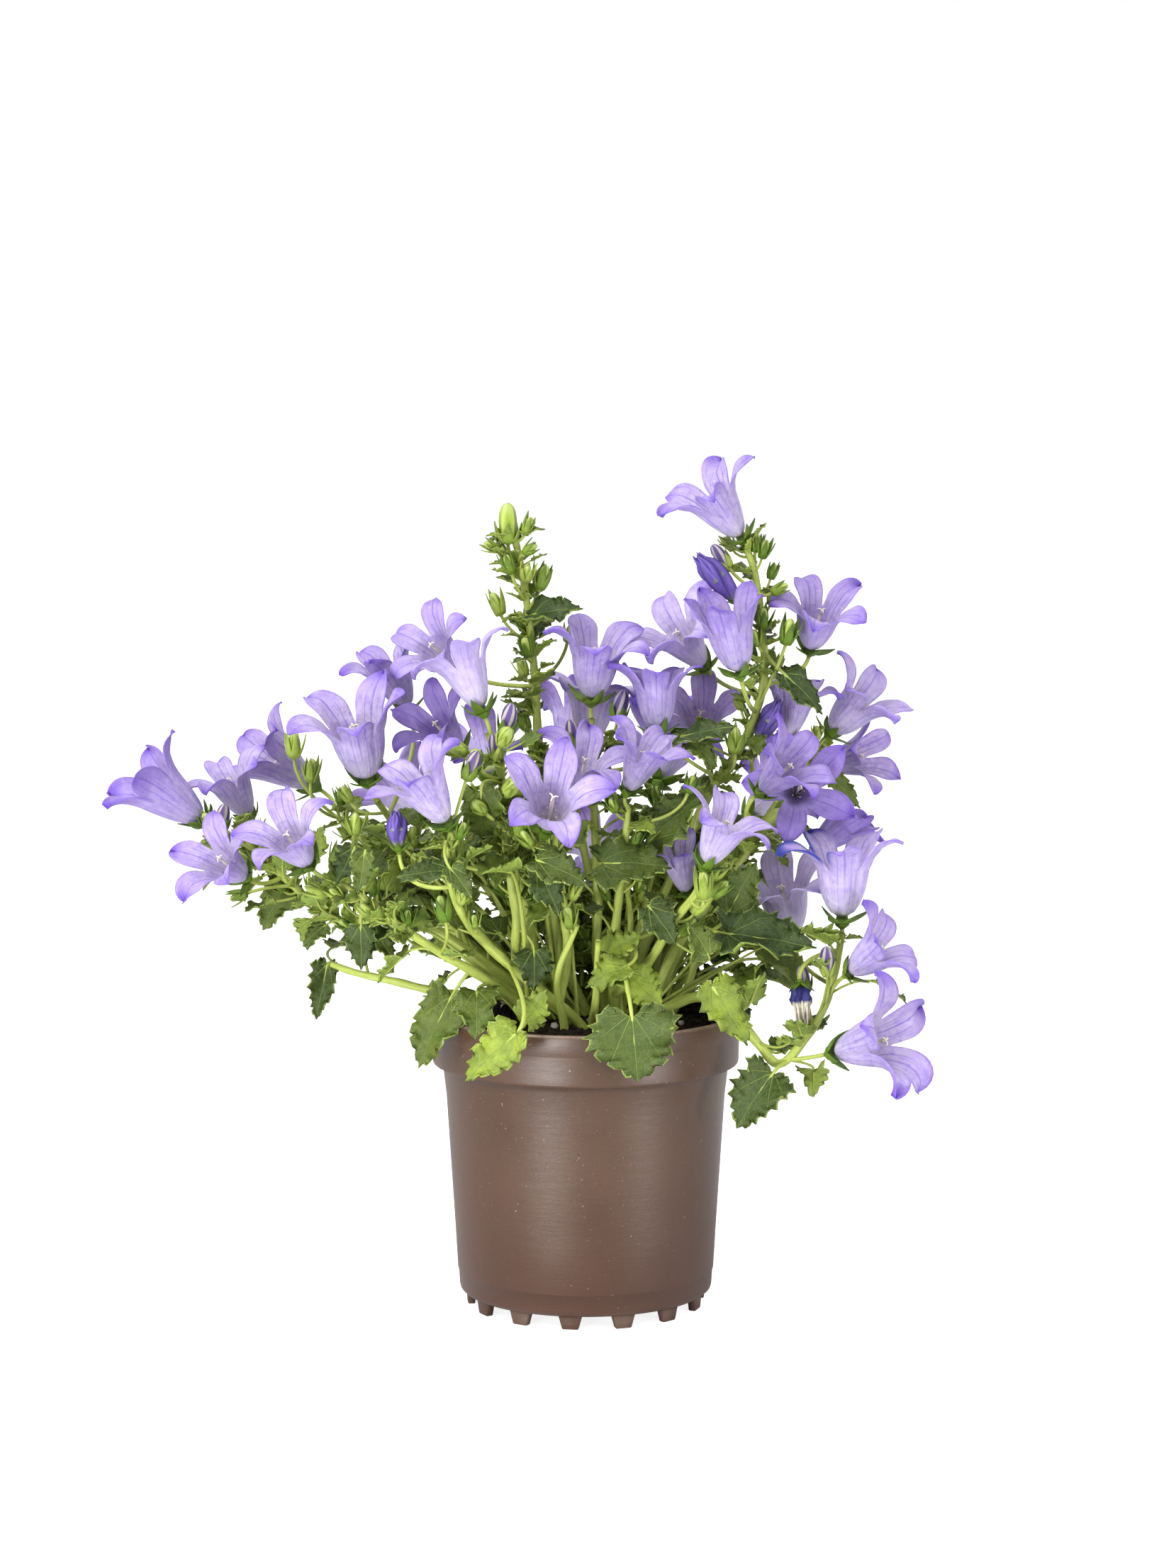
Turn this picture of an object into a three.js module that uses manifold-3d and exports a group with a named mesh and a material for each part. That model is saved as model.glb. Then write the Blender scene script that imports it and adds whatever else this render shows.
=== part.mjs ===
// Potted dalmatian bellflower: a plastic nursery pot filled with soil, leafy stems that
// grow from one crown, closed buds and five-lobed bell blooms.
// Millimetres, +Z up. The plant is laid out round the pot's axis, on a floor at z = 0.

import * as THREE from 'three';
import { mergeVertices } from 'three/addons/utils/BufferGeometryUtils.js';
import Module from 'manifold-3d';

const wasm = await Module();
wasm.setup();

// Driving dimensions of the pot
const RIM_RADIUS = 52.5;
const RIM_TOP = 101;
const BAND_BOTTOM = 83.3;
const BAND_RADIUS = 52;
const BODY_TOP_RADIUS = 48.8;
const BODY_BOTTOM_RADIUS = 43;
const FOOT_HEIGHT = 4.5;
const WALL = 1.3;
const BASE_CORNER = 1.8;
const POT_SIDES = 32;
const FOOT_COUNT = 14;
const FOOT_TURN = 18.4;
const FOOT_RING = 40.6;
const FOOT_DEPTH = 2.6;
const FOOT_TOP_WIDTH = 8.3;
const FOOT_BOTTOM_WIDTH = 5.6;
const FOOT_SINK = 0.6;
const RIM_ROUNDING = 0.8;
const BAND_STEP = 1.8;
const DRAIN_COUNT = 5;
const DRAIN_RADIUS = 3.5;
const DRAIN_RING = 30;
const DRAIN_SIDES = 6;

// Driving dimensions of the soil
const GAP = 0.3;
const SOIL_EDGE = 96.2;
const SOIL_CROWN = 98.2;
const SOIL_BUMP = 0.7;
const SOIL_SIDES = 16;
const STEM_DEPTH = 7;
const HOLE_MARGIN = 0.45;
const HOLE_DEPTH = 0.9;
const HOLE_SIDES = 5;

// Driving dimensions of the plant
const STEM_RADIUS = 2;
const TIP_RADIUS = 1.15;
const STEM_SIDES = 4;
const BRANCH_RADIUS = 1.75;
const PEDICEL_RADIUS = 0.85;
const PETIOLE_RADIUS = 0.75;
const BUD_STALK_RADIUS = 0.6;
const SHORT_STALK = 14;
const BLADE_THICKNESS = 0.7;
const PETAL_THICKNESS = 0.7;
const BELL_SEAT = 0.6;
const TUBE_LENGTH = 14.5;
const MOUTH_RADIUS = 7.4;
const THROAT_RADIUS = 3.3;
const LOBE_LENGTH = 15;
const LOBE_BEND = 0.45;
const LOBE_VARIETY = 0.12;
const LOBE_HALF_WIDTH = 5.8;
const LOBES = 5;
const CLEARANCE = 0.35;
const ATTACH_SAMPLES = 60;
const FIRST_PEDICEL = 6;
const FIRST_PETIOLE = 8;
const GOLDEN_ANGLE = 137.5;

// Colours of the pieces
const COLOURS = {
  pot: 0x5c4338,
  soil: 0x1c1714,
  stem: 0x4f7a2c,
  bloom: 0x8d80dc,
  bud: 0x4b3f94,
  spent: 0x2a2c66,
};

// Leafy stems. Each has the node it belongs to, where it leaves the soil or the stem it
// branches from, its route, and how many smaller leaves it carries.
const STEMS = {
  reach_left: { node: 'stem_reach_left', root: [-13, -4], leaves: 4,
    route: [[-44, -8, 125], [-64, -6, 132], [-80, -4, 131], [-87, -2, 133], [-99, 0, 143],
      [-111, 2, 154], [-121, 4, 160], [-126, 4, 162]] },
  long_leaf: { node: 'stem_reach_left', from: 'reach_left', at: 8, leaves: 0,
    route: [[-45, -12, 108], [-64, -11, 112], [-78, -7, 114.5], [-86, -2, 116.5]] },
  low_left: { node: 'stem_low_left', root: [-16, -16], leaves: 5,
    route: [[-32, -24, 114], [-47, -34, 125], [-61, -38, 135], [-74, -36, 145], [-83, -36, 150]] },
  bell_left: { node: 'stem_bell_left', root: [-9, 7], leaves: 4,
    route: [[-35, 8, 112], [-45, 8, 130], [-55, 4, 146], [-64, -2, 163], [-70, -8, 173]] },
  far_left: { node: 'stem_bell_left', from: 'bell_left', at: 12, leaves: 2,
    route: [[-56, 24, 134], [-74, 32, 151], [-86, 34, 162]] },
  light_bell: { node: 'stem_light_bell', root: [-6, -12], leaves: 4,
    route: [[-22, -18, 117], [-23, -28, 137], [-26, -32, 159], [-27, -32, 180], [-32, -30, 198]] },
  bud_spire: { node: 'stem_bud_spire', root: [0, 3], leaves: 4,
    route: [[-9, 8, 120], [-13, 8, 154], [-16, 6, 191], [-17, 4, 212], [-19, 2, 232],
      [-21, 0, 248], [-24, -2, 262]] },
  front_low: { node: 'stem_front', root: [-2, -20], leaves: 1,
    route: [[-30, -30, 125], [-40, -42, 139], [-44, -50, 152], [-45, -54, 165]] },
  front_mid: { node: 'stem_front', from: 'front_low', at: 12, leaves: 1,
    route: [[-6, -27, 123], [-8, -34, 143], [-12, -42, 155], [-12, -46, 162]] },
  centre: { node: 'stem_centre', root: [7, 4], leaves: 3,
    route: [[4, 2, 118], [4, 0, 143], [3, -2, 167], [2, -2, 189], [2, -2, 200]] },
  centre_right: { node: 'stem_centre_right', root: [10, -9], leaves: 2,
    route: [[9, -14, 118], [11, -20, 141], [13, -26, 160], [14, -28, 173]] },
  right_bell: { node: 'stem_centre_right', from: 'centre_right', at: 12, leaves: 1,
    route: [[19, -24, 118], [29, -36, 136], [36, -46, 147], [38, -50, 152]] },
  tall_right: { node: 'stem_tall_right', root: [16, 3], leaves: 5,
    route: [[19, 6, 120], [30, 6, 147], [42, 4, 174], [54, 2, 193], [60, 0, 213], [59, 0, 232],
      [57, 0, 248], [54, 0, 257]] },
  right_star: { node: 'stem_right', root: [22, -4], leaves: 3,
    route: [[29, -6, 120], [43, -6, 140], [56, -2, 157], [67, 4, 169]] },
  right_back: { node: 'stem_right', from: 'right_star', at: 12, leaves: 2,
    route: [[45, 18, 140], [60, 24, 160], [72, 24, 176], [82, 18, 189]] },
  arch_right: { node: 'stem_arch_right', root: [20, -15], leaves: 4,
    route: [[37, -24, 109], [48, -30, 105], [57, -32, 95], [64, -32, 88], [72, -30, 95],
      [79, -28, 106], [83, -26, 119], [85, -26, 131]] },
  back_left: { node: 'stem_back_left', root: [-6, 17], leaves: 4,
    route: [[-22, 30, 122], [-38, 44, 140], [-54, 54, 153]] },
  back_left_up: { node: 'stem_back_left', from: 'back_left', at: 12, leaves: 2,
    route: [[-16, 44, 138], [-28, 58, 158], [-33, 63, 167]] },
  back_mid: { node: 'stem_back_mid', root: [6, 19], leaves: 4,
    route: [[4, 34, 126], [-2, 48, 156], [-6, 57, 176]] },
  back_low: { node: 'stem_back_mid', from: 'back_mid', at: 12, leaves: 2,
    route: [[8, 52, 118], [8, 66, 126], [5, 78, 135]] },
  back_right: { node: 'stem_back_right', root: [17, 12], leaves: 4,
    route: [[32, 30, 124], [46, 46, 142], [55, 56, 155]] },
  back_right_up: { node: 'stem_back_right', from: 'back_right', at: 12, leaves: 2,
    route: [[26, 40, 138], [26, 54, 156], [26, 61, 167]] },
};

// Open blooms: stem, base of the bell, direction it opens in, size, how far its lobes
// spread (1 is flat open), turn of its lobes in degrees.
const BLOOMS = [
  ['reach_left', [-130, 4, 165], [-0.78, -0.1, 0.6], 1.1, 0.5, 30],
  ['reach_left', [-114, -14, 148], [-0.52, -0.7, 0.48], 0.9, 0.75, 0],
  ['low_left', [-91, -34, 155], [-0.4, -0.6, 0.69], 0.95, 0.75, 60],
  ['reach_left', [-116, 22, 164], [-0.4, -0.25, 0.88], 0.9, 0.8, 12],
  ['far_left', [-96, 34, 172], [-0.76, -0.3, 0.55], 1.1, 0.5, 6],
  ['bell_left', [-73, -12, 181], [-0.16, -0.35, 0.92], 1.2, 0.6, 24],
  ['bell_left', [-61, 18, 202], [-0.39, -0.2, 0.9], 0.9, 0.4, 0],
  ['bud_spire', [-43, 12, 217], [-0.57, -0.6, 0.55], 0.9, 0.8, 6],
  ['light_bell', [-34, -28, 206], [-0.4, 0.1, 0.91], 1, 0.8, 0],
  ['light_bell', [-43, 4, 189], [-0.5, -0.55, 0.66], 0.9, 0.6, 0],
  ['front_low', [-45, -54, 171], [-0.46, -0.25, 0.85], 1, 0.6, 66],
  ['front_mid', [-12, -46, 169], [0.07, -0.78, 0.62], 1.05, 0.7, 36],
  ['centre', [-3, -22, 175], [0.2, -0.4, 0.89], 0.9, 0.9, 48],
  ['centre', [2, -2, 207], [0.1, -0.3, 0.95], 1.05, 0.65, 6],
  ['centre', [1, 22, 188], [0.1, 0.05, 0.99], 1.05, 0.85, 0],
  ['centre', [24, -8, 197], [-0.04, 0.1, 1], 0.9, 0.6, 36],
  ['tall_right', [40, 0, 217], [-0.55, -0.45, 0.7], 1, 0.8, 36],
  ['tall_right', [51, -14, 217], [-0.22, -0.2, 0.95], 1, 0.3, 20],
  ['tall_right', [40, 22, 192], [-0.05, -0.8, 0.6], 0.9, 0.7, 24],
  ['tall_right', [52, 0, 261], [-0.58, -0.2, 0.79], 1, 0.7, 48],
  ['tall_right', [76, 6, 223], [0.15, -0.5, 0.85], 0.95, 0.8, 12],
  ['right_back', [84, 16, 194], [0.65, -0.3, 0.69], 0.95, 0.65, 12],
  ['right_back', [69, 6, 192], [0.12, -0.1, 0.98], 0.85, 0.7, 36],
  ['right_star', [71, 2, 174], [0.05, -0.96, 0.25], 1, 0.9, 0],
  ['right_star', [58, -24, 178], [0.6, -0.5, 0.62], 0.9, 0.6, 6],
  ['right_back', [84, 36, 180], [0.8, -0.5, 0.3], 0.85, 0.6, 6],
  ['right_bell', [39, -50, 157], [0.42, -0.2, 0.88], 0.95, 0.85, 0],
  ['right_star', [79, 18, 154], [0.78, 0, 0.62], 0.8, 0.4, 0],
  ['arch_right', [85, -26, 136], [0, -0.05, 1], 1.15, 0.7, 36],
  ['arch_right', [70, -16, 126], [-0.2, -0.3, 0.93], 1.1, 0.85, 54],
  ['arch_right', [87, -34, 119], [0.7, -0.35, 0.62], 0.85, 0.7, 0],
  ['arch_right', [82, -38, 93], [0.8, -0.5, 0.3], 1.15, 0.8, 18],
  ['centre_right', [34, -2, 141], [-0.2, -0.24, 0.95], 0.75, 0.5, 0],
  ['centre_right', [14, -28, 179], [0.36, -0.3, 0.88], 0.85, 0.65, 12],
  ['back_left', [-58, 58, 158], [-0.5, 0.6, 0.62], 1, 0.7, 10],
  ['back_left_up', [-34, 66, 172], [-0.1, 0.7, 0.7], 1.05, 0.75, 30],
  ['back_mid', [-6, 60, 182], [0.1, 0.5, 0.85], 1, 0.7, 0],
  ['back_right_up', [26, 64, 172], [0.2, 0.75, 0.62], 1.1, 0.8, 50],
  ['back_right', [58, 60, 160], [0.6, 0.6, 0.5], 1, 0.7, 20],
  ['back_low', [4, 84, 138], [0, 0.9, 0.4], 1, 0.8, 40],
];

// Closed purple buds and one withered bloom: name, stem, base, tip, radius, colour.
const CLOSED = [
  ['bud_dark', 'front_low', [-61, -40, 161], [-62, -40, 173], 3.4, 'bud'],
  ['bud_long', 'tall_right', [51, -8, 240], [37, -12, 255], 4, 'bud'],
  ['bud_open', 'right_back', [58, 0, 192], [65, -2, 206], 3.6, 'bud'],
  ['bloom_spent', 'arch_right', [71, -30, 114], [72, -32, 103], 2.6, 'spent'],
];

// Larger leaves: stem, base of the blade, tip of the blade, width.
const LEAVES = [
  ['centre_right', [15, -57, 108], [17, -62, 88], 30],
  ['front_low', [-19, -47, 105], [-13, -50, 116], 12],
  ['front_low', [-23, -57, 103], [-39, -62, 90], 15],
  ['low_left', [-45, -26, 109], [-57, -29, 87], 17],
  ['light_bell', [-17, -30, 125], [-17, -36, 114], 14],
  ['centre_right', [13, -38, 122], [0, -43, 117], 12],
  ['centre_right', [14, -44, 119], [25, -52, 110], 14],
  ['centre_right', [7, -34, 125], [18, -38, 132], 12],
  ['centre_right', [6, -30, 155], [27, -36, 157], 20],
  ['right_bell', [21, -36, 141], [30, -42, 131], 14],
  ['right_bell', [40, -40, 126], [34, -44, 137], 12],
  ['right_star', [48, -30, 131], [75, -44, 130], 19],
  ['arch_right', [42, -42, 115], [53, -52, 99], 14],
  ['arch_right', [61, -38, 85], [49, -44, 70], 19],
  ['right_star', [48, -14, 137], [55, -20, 154], 15],
  ['centre_right', [22, -24, 162], [37, -30, 178], 17],
  ['tall_right', [32, -14, 195], [49, -20, 200], 9],
  ['tall_right', [35, -16, 193], [44, -20, 186], 9],
  ['tall_right', [67, -4, 215], [80, -8, 204], 10],
  ['light_bell', [-34, -38, 162], [-34, -46, 180], 14],
  ['front_low', [-44, -52, 156], [-60, -58, 156], 10],
  ['front_low', [-43, -54, 157], [-36, -60, 149], 9],
  ['front_mid', [-15, -44, 158], [0, -50, 153], 13],
  ['front_mid', [-15, -46, 154], [-8, -52, 141], 12],
  ['front_mid', [-10, -30, 158], [0, -36, 170], 13],
  ['low_left', [-76, -38, 160], [-82, -42, 149], 10],
  ['low_left', [-72, -40, 159], [-74, -44, 147], 8],
  ['low_left', [-74, -34, 134], [-74, -36, 120], 12],
  ['bell_left', [-71, -6, 127], [-64, -8, 118], 8],
  ['reach_left', [-88, -4, 130], [-96, -6, 124], 8],
  ['long_leaf', [-88, 2, 115], [-92, 0, 97], 9],
  ['reach_left', [-102, -2, 143], [-110, -8, 128], 13],
  ['bud_spire', [-17, -2, 235], [-2, -8, 239], 10],
  ['right_star', [84, 12, 178], [94, 8, 170], 8],
];

// Green buds: stem, base, direction in the picture plane, size.
const BUDS = [
  ['bud_spire', [-26, -2, 261], [0, 1], 1.7],
  ['bud_spire', [-15, -4, 245], [0.3, 1], 1.2],
  ['bud_spire', [-29, 2, 236], [-0.4, 1], 1.2],
  ['bud_spire', [-20, -4, 256], [0.9, 0.6], 0.8],
  ['bud_spire', [-30, -2, 257], [-0.9, 0.5], 0.8],
  ['bud_spire', [-25, -6, 250], [-0.3, 1], 1],
  ['bud_spire', [-6, 10, 226], [0.2, 1], 0.9],
  ['reach_left', [-115, -6, 141], [-0.9, -0.3], 0.9],
  ['reach_left', [-89, -6, 141], [-0.2, 1], 1],
  ['reach_left', [-123, -4, 163], [0.2, 1], 1.3],
  ['far_left', [-100, 20, 186], [0, 1], 1.3],
  ['far_left', [-94, 16, 178], [0.1, 1], 1.2],
  ['low_left', [-83, -30, 155], [0.3, 1], 1],
  ['low_left', [-76, -34, 166], [0.1, 1], 1.1],
  ['bell_left', [-79, -12, 174], [-0.5, 1], 0.9],
  ['light_bell', [-29, -36, 191], [-0.2, 1], 1.1],
  ['light_bell', [-26, -34, 199], [0.2, 1], 1.4],
  ['front_low', [-38, -50, 186], [0.4, 1], 1.3],
  ['front_mid', [-19, -46, 169], [-0.5, 1], 1],
  ['low_left', [-46, -44, 139], [-0.2, 1], 1.3],
  ['centre', [-3, -8, 192], [-0.3, 1], 1.3],
  ['centre', [11, -6, 201], [0.2, 1], 1.4],
  ['tall_right', [57, 0, 257], [0.1, 1], 0.9],
  ['tall_right', [63, -4, 243], [0.9, 0.5], 0.9],
  ['tall_right', [47, -4, 252], [-0.6, 0.8], 1.2],
  ['tall_right', [67, -6, 227], [0.2, 1], 1.3],
  ['tall_right', [79, 4, 212], [0.1, 1], 1.4],
  ['tall_right', [50, -12, 191], [0, 1], 1.3],
  ['centre_right', [34, -26, 179], [0.3, 1], 0.9],
  ['right_bell', [38, -52, 148], [0, 1], 1.3],
  ['arch_right', [80, -30, 119], [-0.1, 1], 1.3],
  ['arch_right', [73, -24, 112], [-0.2, 1], 1.2],
];

const vec = (x, y, z) => new THREE.Vector3(x, y, z);
const rad = THREE.MathUtils.degToRad;
const from = (list) => new THREE.Vector3(...list);
const mix = THREE.MathUtils.lerp;
const UP = vec(0, 0, 1);
const SIDEWAYS = vec(1, 0, 0);
const NEARLY_UPRIGHT = 0.97;
const TOWARD_VIEWER = vec(0, -0.75, 0.66);

// Seeded draws between -1 and 1
let seed = 20411;
function draw() {
  seed = (Math.imul(seed, 1664525) + 1013904223) >>> 0;
  return seed / 2147483648 - 1;
}

// Point of a piece's own frame: a along direction, b and c across it
function place(origin, axes, a, b, c) {
  return origin.clone().addScaledVector(axes.along, a)
    .addScaledVector(axes.side, b).addScaledVector(axes.up, c);
}

function axesAlong(direction) {
  const along = direction.clone().normalize();
  const reference = Math.abs(along.z) > NEARLY_UPRIGHT ? SIDEWAYS : UP;
  const side = along.clone().cross(reference).normalize();
  const up = side.clone().cross(along);
  return { along, side, up };
}

// The same axes turned about the direction
function turned(axes, degrees) {
  const side = radial(axes, degrees);
  return { along: axes.along, side, up: side.clone().cross(axes.along) };
}

// Direction away from the axis at an angle in degrees
function radial(axes, degrees) {
  const angle = rad(degrees);
  return axes.side.clone().multiplyScalar(Math.cos(angle))
    .addScaledVector(axes.up, Math.sin(angle));
}

// Closed solid from corner points and triangles, turned to face out
function solidOf(points, triangles) {
  let volume = 0;
  for (const [a, b, c] of triangles) {
    volume += points[a].dot(points[b].clone().cross(points[c]));
  }
  const faces = volume < 0 ? triangles.map(([a, b, c]) => [a, c, b]) : triangles;
  return new wasm.Manifold(new wasm.Mesh({
    numProp: 3,
    vertProperties: new Float32Array(points.flatMap((p) => [p.x, p.y, p.z])),
    triVerts: new Uint32Array(faces.flat()),
  }));
}

function solidOfGeometry(geometry) {
  geometry.deleteAttribute('normal');
  geometry.deleteAttribute('uv');
  const merged = mergeVertices(geometry, 1e-4);
  const points = [];
  const triangles = [];
  for (let i = 0; i < merged.attributes.position.count; i += 1) {
    points.push(vec(0, 0, 0).fromBufferAttribute(merged.attributes.position, i));
  }
  for (let i = 0; i < merged.index.count; i += 3) {
    const corners = [0, 1, 2].map((k) => merged.index.getX(i + k));
    if (new Set(corners).size === 3) {
      triangles.push(corners);
    }
  }
  return solidOf(points, triangles);
}

function curveThrough(points) {
  return new THREE.CatmullRomCurve3(points, false, 'catmullrom', 0.5);
}

// Round stem along a curve, tapering from one radius to the other
function tube(curve, sides, steps, startRadius, endRadius) {
  const section = new THREE.Shape();
  for (let k = 0; k < sides; k += 1) {
    const angle = (2 * Math.PI * k) / sides;
    const x = Math.cos(angle);
    const y = Math.sin(angle);
    if (k === 0) {
      section.moveTo(x, y);
    } else {
      section.lineTo(x, y);
    }
  }
  section.closePath();
  const geometry = new THREE.ExtrudeGeometry(section, {
    steps, extrudePath: curve, bevelEnabled: false, curveSegments: 1,
  });
  const centres = curve.getSpacedPoints(steps);
  const position = geometry.attributes.position;
  const point = vec(0, 0, 0);
  for (let i = 0; i < position.count; i += 1) {
    point.fromBufferAttribute(position, i);
    const distances = centres.map((centre) => Math.abs(centre.distanceTo(point) - 1));
    const nearest = distances.indexOf(Math.min(...distances));
    const radius = mix(startRadius, endRadius, nearest / steps);
    point.sub(centres[nearest]).multiplyScalar(radius).add(centres[nearest]);
    position.setXYZ(i, point.x, point.y, point.z);
  }
  return solidOfGeometry(geometry);
}

// Half outlines of a leaf blade: share of the length, share of the half width
const TOOTHED = [[-0.12, 0.45], [0.04, 0.92], [0.18, 0.8], [0.35, 1], [0.46, 0.76], [0.66, 0.72]];
const LOBED = [[-0.08, 0.6], [0.2, 1], [0.42, 0.72], [0.62, 0.7]];
const NARROW = [[0.3, 1]];
const TOOTHED_FROM = 16;
const LOBED_FROM = 10;
const RIB_POINT = 0.36;
const LEAF_WAVE = 0.05;

// Height of the blade over its flat plane, in shares of its length
function bladeHeight(shape, along, across) {
  const wave = shape.wave * Math.sin(9 * along + shape.phase) * Math.abs(across);
  return shape.fold * Math.abs(across) - shape.curl * along * along + wave;
}

function bladePoint(shape, along, across, lift) {
  const height = bladeHeight(shape, along, across) * shape.length;
  return place(shape.base, shape.axes, along * shape.length, (across * shape.width) / 2,
    height + lift);
}

// Frame of a blade from its base to its tip with its face turned to a given side
function bladeShape(base, tip, width, face, bend) {
  const span = tip.clone().sub(base);
  const along = span.clone().normalize();
  const side = along.clone().cross(face).normalize();
  const up = side.clone().cross(along);
  return { base, length: span.length(), width, axes: { along, side, up }, ...bend };
}

// Petiole or pedicel from a root on a stem to a seat, reaching it along a direction
function stalkCurve(root, seat, arrival, lift) {
  const reach = root.distanceTo(seat);
  const before = seat.clone().addScaledVector(arrival, -Math.min(0.45 * reach, 10));
  before.addScaledVector(UP, lift);
  return new THREE.QuadraticBezierCurve3(root, before, seat);
}

// Three-sided stalk along a curve: rings from the root on, the last one left open. The
// rings don't twist against the direction that the end's first corner looks in.
const STAR_CORNERS = [30, 150, 270];
const LEAF_CORNERS = [150, 30, 270];
function stalkRings(curve, radius, endAxes, corners) {
  const steps = curve.getLength() < SHORT_STALK ? 1 : 2;
  const rings = [];
  let side = endAxes.side.clone();
  for (let k = steps - 1; k >= 0; k -= 1) {
    const along = curve.getTangent(k / steps);
    side = side.addScaledVector(along, -side.dot(along)).normalize();
    const up = side.clone().cross(along);
    const centre = curve.getPoint(k / steps);
    rings.unshift(corners.map((degrees) => centre.clone()
      .addScaledVector(radial({ side, up }, degrees), radius)));
  }
  return rings;
}

// Joins the rings of a stalk to the three corners where its head starts
function addStalk(points, triangles, rings, corners) {
  let last = corners;
  for (const ring of [...rings].reverse()) {
    const first = points.length;
    points.push(...ring);
    for (let k = 0; k < 3; k += 1) {
      const next = (k + 1) % 3;
      triangles.push([last[k], first + k, first + next]);
      triangles.push([last[k], first + next, last[next]]);
    }
    last = [first, first + 1, first + 2];
  }
  triangles.push([last[2], last[1], last[0]]);
}

// Stalk by itself, closed at both ends
function stalkSolid(curve, radius) {
  const axes = axesAlong(curve.getTangent(1));
  const end = curve.getPoint(1);
  const points = STAR_CORNERS.map((degrees) => end.clone()
    .addScaledVector(radial(axes, degrees), radius));
  const triangles = [[0, 1, 2]];
  addStalk(points, triangles, stalkRings(curve, radius, axes, STAR_CORNERS), [0, 1, 2]);
  return solidOf(points, triangles);
}

function outlineFor(length) {
  if (length < LOBED_FROM) {
    return NARROW;
  }
  return length < TOOTHED_FROM ? LOBED : TOOTHED;
}

// Leaf: a stalk and a blade folded along its rib, both faces split alike
function leafSolid(shape, curve, margin) {
  const grown = { ...shape, length: shape.length + margin, width: shape.width + 2 * margin };
  const half = outlineFor(shape.length);
  const lift = BLADE_THICKNESS / 2 + margin;
  const radius = PETIOLE_RADIUS + margin;
  const neck = (2 * radius * Math.cos(rad(LEAF_CORNERS[1]))) / grown.width;
  const outline = [...half, [1, 0], ...half.map(([a, c]) => [a, -c]).reverse()];
  const count = outline.length;
  const points = [
    ...outline.map(([a, c]) => bladePoint(grown, a, c, lift)),
    ...outline.map(([a, c]) => bladePoint(grown, a, c, -lift)),
    bladePoint(grown, RIB_POINT, 0, lift),
    bladePoint(grown, RIB_POINT, 0, -lift),
    bladePoint(grown, 0, neck, lift),
    bladePoint(grown, 0, -neck, lift),
    bladePoint(grown, 0, 0, lift - 1.5 * radius),
  ];
  const [ribTop, ribBottom, right, left, under] = [0, 1, 2, 3, 4].map((k) => 2 * count + k);
  const triangles = [[ribTop, left, right], [ribTop, right, 0], [ribTop, count - 1, left],
    [ribBottom, count, under], [ribBottom, under, 2 * count - 1],
    [right, under, count], [right, count, 0],
    [left, 2 * count - 1, under], [left, count - 1, 2 * count - 1]];
  for (let i = 0; i + 1 < count; i += 1) {
    triangles.push([ribTop, i, i + 1]);
    triangles.push([ribBottom, count + i + 1, count + i]);
    triangles.push([i + 1, i, count + i]);
    triangles.push([i + 1, count + i, count + i + 1]);
  }
  const rings = stalkRings(curve, radius, shape.axes, LEAF_CORNERS);
  addStalk(points, triangles, rings, [left, right, under]);
  return solidOf(points, triangles);
}

// Star of five sepals on its stalk, or a bud in its sepals where its top is raised. Each
// of its ten rim points goes down to one of the three corners of the stalk.
const CORNER_OF = [0, 0, 0, 1, 1, 1, 1, 2, 2, 2];
function stalkedStar(base, axes, shape, curve, radius) {
  const points = [place(base, axes, shape.top, 0, 0)];
  const triangles = [];
  for (let i = 0; i < 2 * LOBES; i += 1) {
    const isTip = i % 2 === 1;
    points.push(place(base, axes, isTip ? shape.tipHeight : shape.valleyHeight, 0, 0)
      .addScaledVector(radial(axes, 36 * i), isTip ? shape.tipRadius : shape.valleyRadius));
  }
  const corner = 1 + 2 * LOBES;
  STAR_CORNERS.forEach((degrees) => {
    points.push(place(base, axes, shape.bottom, 0, 0)
      .addScaledVector(radial(axes, degrees), radius));
  });
  for (let i = 0; i < 2 * LOBES; i += 1) {
    const next = (i + 1) % (2 * LOBES);
    triangles.push([0, 1 + i, 1 + next]);
    triangles.push([corner + CORNER_OF[i], 1 + next, 1 + i]);
    if (CORNER_OF[next] !== CORNER_OF[i]) {
      triangles.push([corner + CORNER_OF[i], corner + CORNER_OF[next], 1 + next]);
    }
  }
  const rings = stalkRings(curve, radius, axes, STAR_CORNERS);
  addStalk(points, triangles, rings, [corner, corner + 1, corner + 2]);
  return solidOf(points, triangles);
}

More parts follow.
